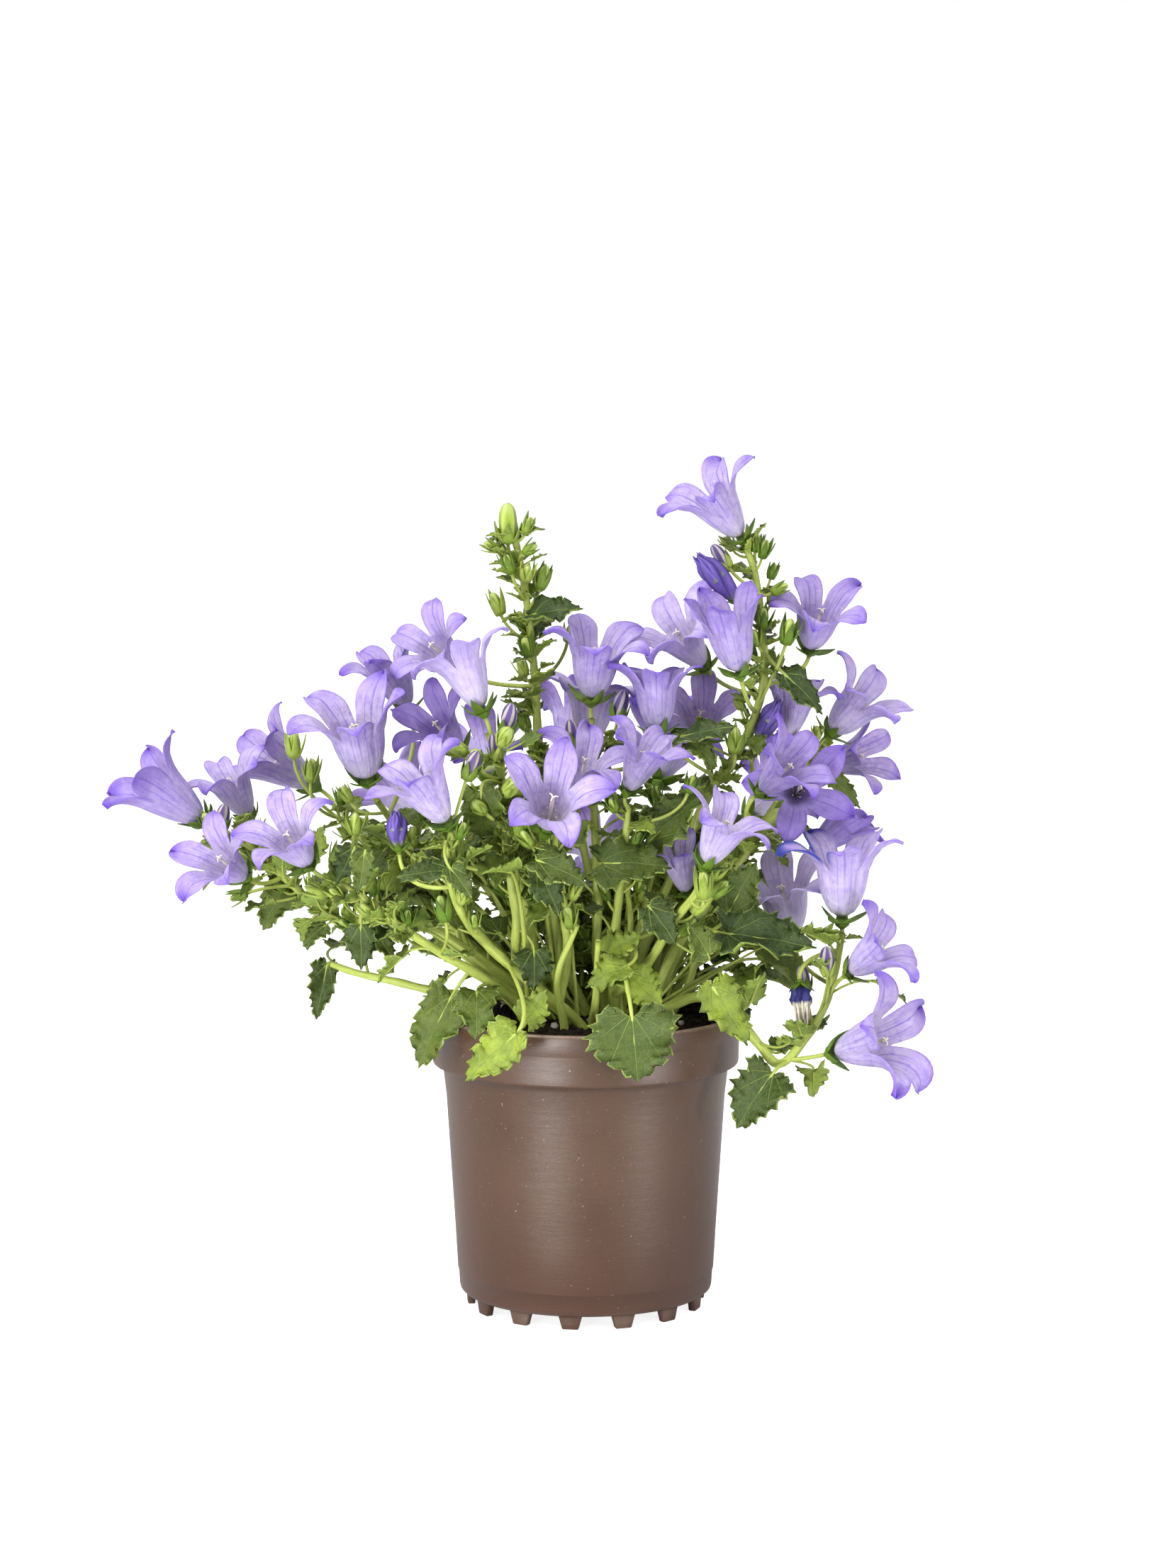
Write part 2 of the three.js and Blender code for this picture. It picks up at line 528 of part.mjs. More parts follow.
// Five-lobed bell: points of its outer and inner skin in its own frame
function bellPoints(bloom, margin) {
  const { size, flare, axes, index } = bloom;
  const outer = [];
  const inner = [];
  const put = (degrees, radius, height, tilt, across) => {
    const out = radial(axes, degrees);
    const tangent = radial(axes, degrees + 90);
    const start = place(bloom.base, axes, height, 0, 0)
      .addScaledVector(out, radius).addScaledVector(tangent, across);
    const inward = out.clone().multiplyScalar(-Math.cos(tilt))
      .addScaledVector(axes.along, Math.sin(tilt));
    outer.push(start.clone().addScaledVector(inward, -margin));
    inner.push(start.clone().addScaledVector(inward, PETAL_THICKNESS + margin));
  };
  outer.push(place(bloom.base, axes, BELL_SEAT - margin, 0, 0));
  inner.push(place(bloom.base, axes, BELL_SEAT + 3 * size, 0, 0));
  const pitch = 360 / LOBES;
  for (let k = 0; k < LOBES; k += 1) {
    put(pitch * k, THROAT_RADIUS * size, 3.4 * size, 0.35, 0);
  }
  for (let k = 0; k < LOBES; k += 1) {
    put(pitch * k, (MOUTH_RADIUS + 0.3) * size, (TUBE_LENGTH - 2) * size, 0.3, 0);
    put(pitch * (k + 0.5), MOUTH_RADIUS * size, TUBE_LENGTH * size, 0.3, 0);
  }
  for (let k = 0; k < LOBES; k += 1) {
    const vary = LOBE_VARIETY * Math.sin(12.9 * index + 7.7 * k);
    const open = (flare + vary) * Math.PI / 2;
    const low = 0.6 * open;
    const high = 1.1 * open;
    const lobe = LOBE_LENGTH * size;
    const first = LOBE_BEND * lobe;
    const last = lobe - first;
    const midRadius = MOUTH_RADIUS * size + first * Math.sin(low);
    const midHeight = TUBE_LENGTH * size + first * Math.cos(low);
    const degrees = pitch * k;
    put(degrees, midRadius, midHeight, low, -LOBE_HALF_WIDTH * size);
    put(degrees, midRadius + last * Math.sin(high), midHeight + last * Math.cos(high), high, 0);
    put(degrees, midRadius, midHeight, low, LOBE_HALF_WIDTH * size);
  }
  return { outer, inner };
}

const THROAT = 1;
const MOUTH = 1 + LOBES;
const LOBE = 1 + 3 * LOBES;

// Triangles of the bell's outer skin: tube and lobes
function outerSkin() {
  const triangles = [];
  for (let k = 0; k < LOBES; k += 1) {
    const next = (k + 1) % LOBES;
    const before = (k + LOBES - 1) % LOBES;
    const middle = MOUTH + 2 * k;
    const notch = middle + 1;
    const nextMiddle = MOUTH + 2 * next;
    const lastNotch = MOUTH + 2 * before + 1;
    const shoulder = LOBE + 3 * k;
    triangles.push([0, THROAT + k, THROAT + next]);
    triangles.push([THROAT + k, middle, notch]);
    triangles.push([THROAT + k, notch, THROAT + next]);
    triangles.push([THROAT + next, notch, nextMiddle]);
    triangles.push([lastNotch, shoulder, middle]);
    triangles.push([middle, shoulder, shoulder + 1]);
    triangles.push([middle, shoulder + 1, shoulder + 2]);
    triangles.push([middle, shoulder + 2, notch]);
  }
  return triangles;
}

// Edge of the bell, point by point round all lobes
function bellEdge() {
  const edge = [];
  for (let k = 0; k < LOBES; k += 1) {
    const shoulder = LOBE + 3 * k;
    edge.push(shoulder, shoulder + 1, shoulder + 2, MOUTH + 2 * k + 1);
  }
  return edge;
}

// Closes the outer skin with the inner edge points and a middle point. The inner skin is
// either the bell's own, down to its throat, or a cover over its mouth.
function closeBell(outer, inner, middlePoint, isCover) {
  const edge = bellEdge();
  const count = edge.length;
  const points = [...outer, ...edge.map((i) => inner[i]), middlePoint];
  const first = outer.length;
  const middle = first + count;
  const triangles = outerSkin();
  for (let i = 0; i < count; i += 1) {
    const next = (i + 1) % count;
    triangles.push([edge[next], edge[i], first + i]);
    triangles.push([edge[next], first + i, first + next]);
    if (isCover) {
      triangles.push([middle, first + next, first + i]);
    }
  }
  for (let k = 0; !isCover && k < LOBES; k += 1) {
    const shoulder = first + 4 * k;
    const notch = shoulder + 3;
    const lastNotch = first + ((4 * k + count - 1) % count);
    triangles.push([middle, notch, lastNotch]);
    triangles.push([lastNotch, notch, shoulder]);
    triangles.push([shoulder, notch, shoulder + 2]);
    triangles.push([shoulder, shoulder + 2, shoulder + 1]);
  }
  return solidOf(points, triangles);
}

function corolla(bloom) {
  const { outer, inner } = bellPoints(bloom, 0);
  return closeBell(outer, inner, inner[0], false);
}

// Space that a bloom needs, with its mouth closed over
function bellSpace(bloom, margin) {
  const { outer, inner } = bellPoints(bloom, margin);
  const cover = place(bloom.base, bloom.axes, (TUBE_LENGTH + 3) * bloom.size, 0, 0);
  return closeBell(outer, inner, cover, true);
}

function calyxShape(size) {
  return {
    top: -0.3, bottom: -3.2 * size, valleyHeight: -1.2 * size, valleyRadius: 2 * size,
    tipHeight: 4.6 * size, tipRadius: 5.4 * size,
  };
}

function budShape(size) {
  return {
    top: 6.4 * size, bottom: -1.4 * size, valleyHeight: 2.4 * size, valleyRadius: 2.1 * size,
    tipHeight: 3.6 * size, tipRadius: 3.6 * size,
  };
}

// Closed purple bud: a spindle of five sides, fattest past its middle
function spindle(base, tip, radius) {
  const span = tip.clone().sub(base);
  const axes = axesAlong(span);
  const length = span.length();
  const rings = [[0.04, 0.45], [0.36, 0.85], [0.68, 1]];
  const points = [place(base, axes, BELL_SEAT, 0, 0), place(base, axes, length, 0, 0)];
  const triangles = [];
  rings.forEach(([share, part], r) => {
    for (let k = 0; k < LOBES; k += 1) {
      const out = radial(axes, (360 / LOBES) * k + 25 * r);
      points.push(place(base, axes, BELL_SEAT + share * length, 0, 0)
        .addScaledVector(out, part * radius));
    }
  });
  for (let k = 0; k < LOBES; k += 1) {
    const next = (k + 1) % LOBES;
    triangles.push([0, 2 + k, 2 + next]);
    for (let r = 0; r + 1 < rings.length; r += 1) {
      const ring = 2 + r * LOBES;
      triangles.push([ring + k, ring + LOBES + k, ring + LOBES + next]);
      triangles.push([ring + k, ring + LOBES + next, ring + next]);
    }
    const last = 2 + (rings.length - 1) * LOBES;
    triangles.push([1, last + next, last + k]);
  }
  return solidOf(points, triangles);
}

function lathe(profile, sides) {
  const geometry = new THREE.LatheGeometry(profile.map(([r, z]) => new THREE.Vector2(r, z)), sides);
  geometry.rotateX(Math.PI / 2);
  return geometry;
}

// Pot: one moulded piece with a turned rim band, feet and drainage holes
function makePot() {
  const floor = FOOT_HEIGHT + WALL;
  const profile = [
    [0, FOOT_HEIGHT], [BODY_BOTTOM_RADIUS - BASE_CORNER, FOOT_HEIGHT],
    [BODY_BOTTOM_RADIUS, FOOT_HEIGHT + BASE_CORNER], [BODY_TOP_RADIUS, BAND_BOTTOM - GAP],
    [BAND_RADIUS, BAND_BOTTOM], [RIM_RADIUS, RIM_TOP - RIM_ROUNDING],
    [RIM_RADIUS - RIM_ROUNDING / 2, RIM_TOP], [RIM_RADIUS - WALL, RIM_TOP],
    [BAND_RADIUS - 1.5 * WALL, BAND_BOTTOM + BAND_STEP], [BODY_TOP_RADIUS - WALL, BAND_BOTTOM],
    [BODY_BOTTOM_RADIUS - WALL, floor], [0, floor],
  ];
  let pot = solidOfGeometry(lathe(profile, POT_SIDES));
  for (let k = 0; k < FOOT_COUNT; k += 1) {
    pot = pot.add(solidOfGeometry(footGeometry(FOOT_TURN + (360 / FOOT_COUNT) * k)));
  }
  for (let k = 0; k < DRAIN_COUNT; k += 1) {
    const angle = (2 * Math.PI * k) / DRAIN_COUNT;
    const drill = new THREE.CylinderGeometry(DRAIN_RADIUS, DRAIN_RADIUS, 4 * WALL, DRAIN_SIDES);
    drill.rotateX(Math.PI / 2);
    drill.translate(DRAIN_RING * Math.cos(angle), DRAIN_RING * Math.sin(angle), FOOT_HEIGHT);
    pot = pot.subtract(solidOfGeometry(drill));
  }
  return pot;
}

// Foot: a tapered tab under the edge of the base
function footGeometry(degrees) {
  const top = FOOT_HEIGHT + FOOT_SINK;
  const outline = new THREE.Shape();
  outline.moveTo(-FOOT_BOTTOM_WIDTH / 2, 0);
  outline.lineTo(FOOT_BOTTOM_WIDTH / 2, 0);
  outline.lineTo(FOOT_TOP_WIDTH / 2, top);
  outline.lineTo(-FOOT_TOP_WIDTH / 2, top);
  outline.closePath();
  const foot = new THREE.ExtrudeGeometry(outline, { depth: FOOT_DEPTH, bevelEnabled: false });
  foot.rotateX(Math.PI / 2);
  foot.translate(0, -(FOOT_RING - FOOT_DEPTH), 0);
  foot.rotateZ(rad(degrees));
  return foot;
}

// Inside radius of the pot's body at a height, on the flats of its facets
function insideRadius(z) {
  const share = (z - FOOT_HEIGHT - BASE_CORNER) / (BAND_BOTTOM - FOOT_HEIGHT - BASE_CORNER);
  const radius = mix(BODY_BOTTOM_RADIUS, BODY_TOP_RADIUS, share) - WALL;
  return radius * Math.cos(Math.PI / POT_SIDES);
}

// Height of the lumps in the soil's top
function lump(x, y) {
  const coarse = Math.sin(0.41 * x + 1.3) * Math.sin(0.37 * y + 0.4);
  return SOIL_BUMP * (coarse + 0.5 * Math.sin(0.83 * x - 0.7 * y));
}

// Soil: fills the pot, with a lumpy top, and a plain hole for each stem
function makeSoil(holes) {
  const floor = FOOT_HEIGHT + WALL + GAP + 0.1;
  const bandRadius = (BAND_RADIUS - WALL) * Math.cos(Math.PI / POT_SIDES);
  const profile = [
    [0, floor], [insideRadius(floor) - 2, floor], [insideRadius(BAND_BOTTOM) - 2 * GAP, BAND_BOTTOM],
    [bandRadius - 4 * GAP, BAND_BOTTOM + 2 * BAND_STEP], [bandRadius - 2 * GAP, SOIL_EDGE],
    [42, SOIL_EDGE + 0.9], [30, SOIL_CROWN - 0.6], [16, SOIL_CROWN], [0, SOIL_CROWN],
  ];
  const geometry = lathe(profile, SOIL_SIDES);
  const position = geometry.attributes.position;
  for (let i = 0; i < position.count; i += 1) {
    const [x, y, z] = [position.getX(i), position.getY(i), position.getZ(i)];
    if (z > SOIL_EDGE - 1) {
      position.setZ(i, z + lump(x, y));
    }
  }
  let soil = solidOfGeometry(geometry);
  for (const hole of holes) {
    soil = soil.subtract(hole);
  }
  return soil;
}

// Stems: curves first, then their solids
const stems = {};
for (const [name, stem] of Object.entries(STEMS)) {
  const start = stem.from ? [stems[stem.from].samples[stem.at]] : [
    vec(...stem.root, SOIL_CROWN - STEM_DEPTH),
    vec(...stem.root, SOIL_CROWN + 1),
  ];
  const curve = curveThrough([...start, ...stem.route.map(from)]);
  const steps = stem.route.length + 2;
  const centres = curve.getSpacedPoints(steps);
  const samples = [];
  for (let k = 0; k <= ATTACH_SAMPLES; k += 1) {
    const along = (k / ATTACH_SAMPLES) * steps;
    const low = Math.min(Math.floor(along), steps - 1);
    samples.push(centres[low].clone().lerp(centres[low + 1], along - low));
  }
  stems[name] = { ...stem, curve, steps, centres, samples };
}

// Everything placed so far, with its box, to keep later pieces clear of it
const placed = [];
function boxesMeet(a, b) {
  return [0, 1, 2].every((k) => a.min[k] < b.max[k] && b.min[k] < a.max[k]);
}

function put(kind, node, solid, space = solid) {
  const piece = { kind, node, solid, space, box: space.boundingBox() };
  placed.push(piece);
  return piece;
}

function isClear(solid, allowed) {
  const box = solid.boundingBox();
  return placed.every((other) => {
    if (allowed(other) || !boxesMeet(box, other.box)) {
      return true;
    }
    return solid.intersect(other.space).isEmpty();
  });
}

// Hole in the soil round one straight stretch of a stem
function holeRound(start, end) {
  const along = end.clone().sub(start).normalize();
  const low = start.clone().addScaledVector(along, -HOLE_DEPTH);
  const high = end.clone().addScaledVector(along, GAP);
  const radius = (STEM_RADIUS + HOLE_MARGIN) / Math.cos(Math.PI / HOLE_SIDES);
  const drill = new THREE.CylinderGeometry(radius, radius, low.distanceTo(high), HOLE_SIDES);
  drill.applyQuaternion(new THREE.Quaternion().setFromUnitVectors(vec(0, 1, 0), along));
  const middle = low.add(high).multiplyScalar(0.5);
  drill.translate(middle.x, middle.y, middle.z);
  return solidOfGeometry(drill);
}

const holes = [];
for (const stem of Object.values(stems)) {
  const thick = stem.from ? BRANCH_RADIUS : STEM_RADIUS;
  put('stem', stem.node, tube(stem.curve, STEM_SIDES, stem.steps, thick, TIP_RADIUS));
  if (stem.root) {
    const [first, second, third] = stem.centres;
    holes.push(holeRound(first, second));
    if (second.z < SOIL_CROWN + 2) {
      holes.push(holeRound(second, third));
    }
  }
}
put('pot', 'pot', makePot());
put('soil', 'soil', makeSoil(holes));

// Nearest point of a stem, among its samples from a given share on
function nearestOn(stem, point, first) {
  let best = stem.samples[ATTACH_SAMPLES];
  stem.samples.forEach((sample, k) => {
    if (k >= first && sample.distanceTo(point) < best.distanceTo(point)) {
      best = sample;
    }
  });
  return best;
}

// Depths tried for a piece that would cross another
const SHIFTS = [0, 3, -3, 6, -6, 9, -9, 12, -12, 15, -15, 18, -18];

// Ways round other pieces that are tried for a stalk: height of the place on the stem that
// it aims at, and how far its middle is lifted
const DROPS = [0, -4, 4, -8, -14];
const LIFTS = [0, -3, 3, -7, 6];
const PEDICEL_REACH = 12;
const PETIOLE_REACH = 10;

function isOwn(stem, other) {
  return other.node === stem.node && ['stem', 'head'].includes(other.kind);
}

function stalkTo(stem, seat, direction, radius, bloom) {
  const behind = seat.clone().addScaledVector(direction, -PEDICEL_REACH);
  const allowed = (other) => other === bloom || isOwn(stem, other);
  for (const drop of DROPS) {
    const root = nearestOn(stem, behind.clone().add(vec(0, 0, drop)), FIRST_PEDICEL);
    for (const lift of LIFTS) {
      const curve = stalkCurve(root, seat, direction, lift);
      if (isClear(stalkSolid(curve, radius + CLEARANCE), allowed)) {
        return curve;
      }
    }
  }
  return null;
}

// Shortest stalk, to try a head or a blade with
function stub(seat, along) {
  return new THREE.LineCurve3(seat.clone().addScaledVector(along, -BELL_SEAT), seat);
}

// A bell or closed bud and its sepals take the first depth that is clear of the others
const heads = [];
function placeHead(name, stemName, make, shape) {
  const stem = stems[stemName];
  for (const shift of SHIFTS) {
    const head = make(vec(0, shift, 0));
    const seat = place(head.base, head.axes, shape.bottom, 0, 0);
    const sepals = stalkedStar(head.base, head.axes, shape, stub(seat, head.axes.along), PEDICEL_RADIUS);
    const isOwnStem = (other) => other.node === stem.node && other.kind === 'stem';
    if (isClear(head.space(CLEARANCE), () => false) && isClear(sepals, isOwnStem)) {
      const bloom = put('bloom', name, head.solid(), head.space(0));
      heads.push({ stem, head, shape, seat, bloom, star: put('head', stem.node, sepals) });
      return;
    }
  }
}

BLOOMS.forEach(([stemName, base, direction, size, flare, turn], i) => {
  const name = `bloom_${String(i + 1).padStart(2, '0')}`;
  const make = (shift) => {
    const bloom = { base: from(base).add(shift), size, flare, index: i + 1 };
    bloom.axes = turned(axesAlong(from(direction)), turn);
    return {
      base: bloom.base,
      axes: bloom.axes,
      solid: () => corolla(bloom),
      space: (margin) => bellSpace(bloom, margin),
    };
  };
  placeHead(name, stemName, make, calyxShape(size));
});

CLOSED.forEach(([name, stemName, base, tip, radius]) => {
  const make = (shift) => {
    const start = from(base).add(shift);
    const end = from(tip).add(shift);
    return {
      base: start,
      axes: axesAlong(end.clone().sub(start)),
      solid: () => spindle(start, end, radius),
      space: (margin) => spindle(start, end, radius + margin),
    };
  };
  placeHead(name, stemName, make, calyxShape(0.6));
});

// Pedicels: each head's sepals are made again in one piece with their stalk
for (const { stem, head, shape, seat, bloom, star } of heads) {
  const curve = stalkTo(stem, seat, head.axes.along, PEDICEL_RADIUS, bloom)
    ?? stalkCurve(nearestOn(stem, seat, FIRST_PEDICEL), seat, head.axes.along, 0);
  star.solid = stalkedStar(head.base, head.axes, shape, curve, PEDICEL_RADIUS);
  star.space = star.solid;
  star.box = star.solid.boundingBox();
}

// A leaf is added where its blade and its stalk are both clear
function tryLeaf(stem, shape, root) {
  if (!isClear(leafSolid(shape, stub(shape.base, shape.axes.along), CLEARANCE), () => false)) {
    return false;
  }
  const curve = stalkCurve(root, shape.base, shape.axes.along, 0);
  if (!isClear(stalkSolid(curve, PETIOLE_RADIUS + CLEARANCE), (other) => isOwn(stem, other))) {
    return false;
  }
  put('leaf', stem.node, leafSolid(shape, curve, 0));
  return true;
}

// Heights of the place on the stem that a larger leaf's stalk aims at
const LEAF_DROPS = [0, -8, 8, -16];
LEAVES.forEach(([stemName, base, tip, width], i) => {
  const stem = stems[stemName];
  const bend = {
    fold: 0.1 + 0.05 * Math.sin(3 * i), curl: 0.16 + 0.08 * Math.sin(5 * i),
    wave: LEAF_WAVE, phase: i,
  };
  SHIFTS.some((shift) => {
    const move = vec(0, shift, 0);
    const shape = bladeShape(from(base).add(move), from(tip).add(move), width, TOWARD_VIEWER, bend);
    const behind = shape.base.clone().addScaledVector(shape.axes.along, -PETIOLE_REACH);
    return LEAF_DROPS.some((drop) => {
      const root = nearestOn(stem, behind.clone().add(vec(0, 0, drop)), FIRST_PETIOLE);
      return tryLeaf(stem, shape, root);
    });
  });
});

// Green buds in their sepals
BUDS.forEach(([stemName, base, direction, size], i) => {
  const stem = stems[stemName];
  const axes = turned(axesAlong(vec(direction[0], -0.15, direction[1])), 20 * i);
  const isOwnStem = (other) => other.node === stem.node && other.kind === 'stem';
  SHIFTS.some((shift) => {
    const start = from(base).add(vec(0, shift, 0));
    const seat = place(start, axes, budShape(size).bottom, 0, 0);
    const grown = budShape(1.15 * size);
    const test = stalkedStar(start, axes, grown, stub(seat, axes.along), BUD_STALK_RADIUS);
    const curve = stalkTo(stem, seat, axes.along, BUD_STALK_RADIUS, null);
    if (!curve || !isClear(test, isOwnStem)) {
      return false;
    }
    put('head', stem.node, stalkedStar(start, axes, budShape(size), curve, BUD_STALK_RADIUS));
    return true;
  });
});

// Smaller leaves up each stem, by rule, where there is room
const TURNS = [0, 55, -55, 110, -110, 180];
for (const stem of Object.values(stems)) {
  for (let k = 0; k < stem.leaves; k += 1) {
    const share = mix(0.25, 0.92, (k + 0.5) / stem.leaves) + 0.03 * draw();
    const sample = Math.round(share * ATTACH_SAMPLES);
    const turn = GOLDEN_ANGLE * k + 25 * draw();
    const length = mix(18, 9, share) * (1 + 0.15 * draw());
    const reach = mix(15, 4, share) * (1 + 0.2 * draw());
    const rise = rad(50 + 12 * draw());
    const droop = 0.5 + 0.25 * draw();
    const root = stem.samples[sample];
    const axes = axesAlong(stem.samples[sample + 1].clone().sub(stem.samples[sample - 1]));
    const bend = { fold: 0.14, curl: 0.2 + 0.1 * draw(), wave: LEAF_WAVE, phase: 3 * k };
    TURNS.some((extra) => {
      const out = radial(axes, turn + extra);
      const way = axes.along.clone().multiplyScalar(Math.cos(rise)).addScaledVector(out, Math.sin(rise));
      const base = root.clone().addScaledVector(way, reach);
      const lean = out.clone().addScaledVector(UP, 0.6 - droop).normalize();
      const tip = base.clone().addScaledVector(lean, length);
      const face = UP.clone().addScaledVector(out, 0.4);
      const shape = bladeShape(base, tip, length * 0.85, face, bend);
      return tryLeaf(stem, shape, root);
    });
  }
}

// Assembly
function materialFor(colour) {
  return new THREE.MeshStandardMaterial({
    color: COLOURS[colour],
    roughness: colour === 'pot' ? 0.45 : 0.7,
    metalness: 0,
  });
}

function meshOf(name, solid, colour) {
  const data = solid.getMesh();
  const geometry = new THREE.BufferGeometry();
  geometry.setAttribute('position', new THREE.BufferAttribute(data.vertProperties, 3));
  geometry.setIndex(new THREE.BufferAttribute(data.triVerts, 1));
  const mesh = new THREE.Mesh(geometry, materialFor(colour));
  mesh.name = name;
  return mesh;
}

const group = new THREE.Group();
for (const name of new Set(placed.map((piece) => piece.node))) {
  const solids = placed.filter((piece) => piece.node === name).map((piece) => piece.solid);
  const solid = solids.reduce((whole, part) => whole.add(part));
  const kind = name.split('_')[0];
  group.add(meshOf(name, solid, name === 'bloom_spent' ? 'spent' : kind));
}

// The origin is under the middle of the part's box
const box = new THREE.Box3().setFromObject(group);
const middle = box.getCenter(vec(0, 0, 0));
for (const mesh of group.children) {
  mesh.position.set(-middle.x, -middle.y, 0);
}

export default group;
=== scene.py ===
"""Looks of the potted bellflower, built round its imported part. Lengths are in millimetres
round the pot's axis until a mesh is made, and then in metres."""

import math
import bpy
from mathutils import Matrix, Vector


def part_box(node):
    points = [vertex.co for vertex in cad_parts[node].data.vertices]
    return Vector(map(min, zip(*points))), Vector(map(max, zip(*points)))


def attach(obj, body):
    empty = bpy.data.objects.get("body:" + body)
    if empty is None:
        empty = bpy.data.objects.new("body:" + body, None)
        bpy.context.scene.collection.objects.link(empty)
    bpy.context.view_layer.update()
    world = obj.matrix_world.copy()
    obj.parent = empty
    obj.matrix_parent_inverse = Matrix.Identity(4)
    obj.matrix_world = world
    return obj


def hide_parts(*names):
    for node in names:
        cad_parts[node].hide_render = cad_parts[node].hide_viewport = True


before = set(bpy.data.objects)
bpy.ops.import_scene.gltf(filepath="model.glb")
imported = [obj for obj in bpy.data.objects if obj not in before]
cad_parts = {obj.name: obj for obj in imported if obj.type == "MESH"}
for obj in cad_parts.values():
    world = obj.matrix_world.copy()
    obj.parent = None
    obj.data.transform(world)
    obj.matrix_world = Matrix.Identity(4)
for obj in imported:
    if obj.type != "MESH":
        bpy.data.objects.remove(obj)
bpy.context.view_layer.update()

from types import SimpleNamespace as Row

import bpy
import numpy as np
from mathutils import Vector
from mathutils.bvhtree import BVHTree
from mathutils.kdtree import KDTree

POT_LOW, POT_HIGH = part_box("pot")
OFFSET = np.array([(POT_LOW[0] + POT_HIGH[0]) / 2, (POT_LOW[1] + POT_HIGH[1]) / 2, 0.0])
MM = 0.001


def table(text):
    """Rows of words and numbers, parted by semicolons."""
    return [[word if word[0].isalpha() else float(word) for word in row.split()]
            for row in text.split(";") if row.strip()]


# Leafy stems: name, root in the soil or the stem and sample it branches from, number of
# smaller leaves, route
STEMS = table("""
reach_left -13 -4 4 -44 -8 125 -64 -6 132 -80 -4 131 -87 -2 133 -99 0 143 -111 2 154 -121 4 160
    -126 4 162; long_leaf reach_left 8 0 -45 -12 108 -64 -11 112 -78 -7 114.5 -86 -2 116.5;
low_left -16 -16 5 -32 -24 114 -47 -34 125 -61 -38 135 -74 -36 145 -83 -36 150;
bell_left -9 7 4 -35 8 112 -45 8 130 -55 4 146 -64 -2 163 -70 -8 173;
far_left bell_left 12 2 -56 24 134 -74 32 151 -86 34 162;
light_bell -6 -12 4 -22 -18 117 -23 -28 137 -26 -32 159 -27 -32 180 -32 -30 198;
bud_spire 0 3 4 -9 8 120 -13 8 154 -16 6 191 -17 4 212 -19 2 232 -21 0 248 -24 -2 262;
front_low -2 -20 1 -30 -30 125 -40 -42 139 -44 -50 152 -45 -54 165;
front_mid front_low 12 1 -6 -27 123 -8 -34 143 -12 -42 155 -12 -46 162;
centre 7 4 3 4 2 118 4 0 143 3 -2 167 2 -2 189 2 -2 200;
centre_right 10 -9 2 9 -14 118 11 -20 141 13 -26 160 14 -28 173;
right_bell centre_right 12 1 19 -24 118 29 -36 136 36 -46 147 38 -50 152;
tall_right 16 3 5 19 6 120 30 6 147 42 4 174 54 2 193 60 0 213 59 0 232 57 0 248 54 0 257;
right_star 22 -4 3 29 -6 120 43 -6 140 56 -2 157 67 4 169;
right_back right_star 12 2 45 18 140 60 24 160 72 24 176 82 18 189;
arch_right 20 -15 4 37 -24 109 48 -30 105 57 -32 95 64 -32 88 72 -30 95 79 -28 106 83 -26 119 85
    -26 131; back_left -6 17 4 -22 30 122 -38 44 140 -54 54 153;
back_left_up back_left 12 2 -16 44 138 -28 58 158 -33 63 167;
back_mid 6 19 4 4 34 126 -2 48 156 -6 57 176; back_low back_mid 12 2 8 52 118 8 66 126 5 78 135;
back_right 17 12 4 32 30 124 46 46 142 55 56 155;
back_right_up back_right 12 2 26 40 138 26 54 156 26 61 167;""")
NODE_NAMES = {"front_low": "stem_front", "right_star": "stem_right"}
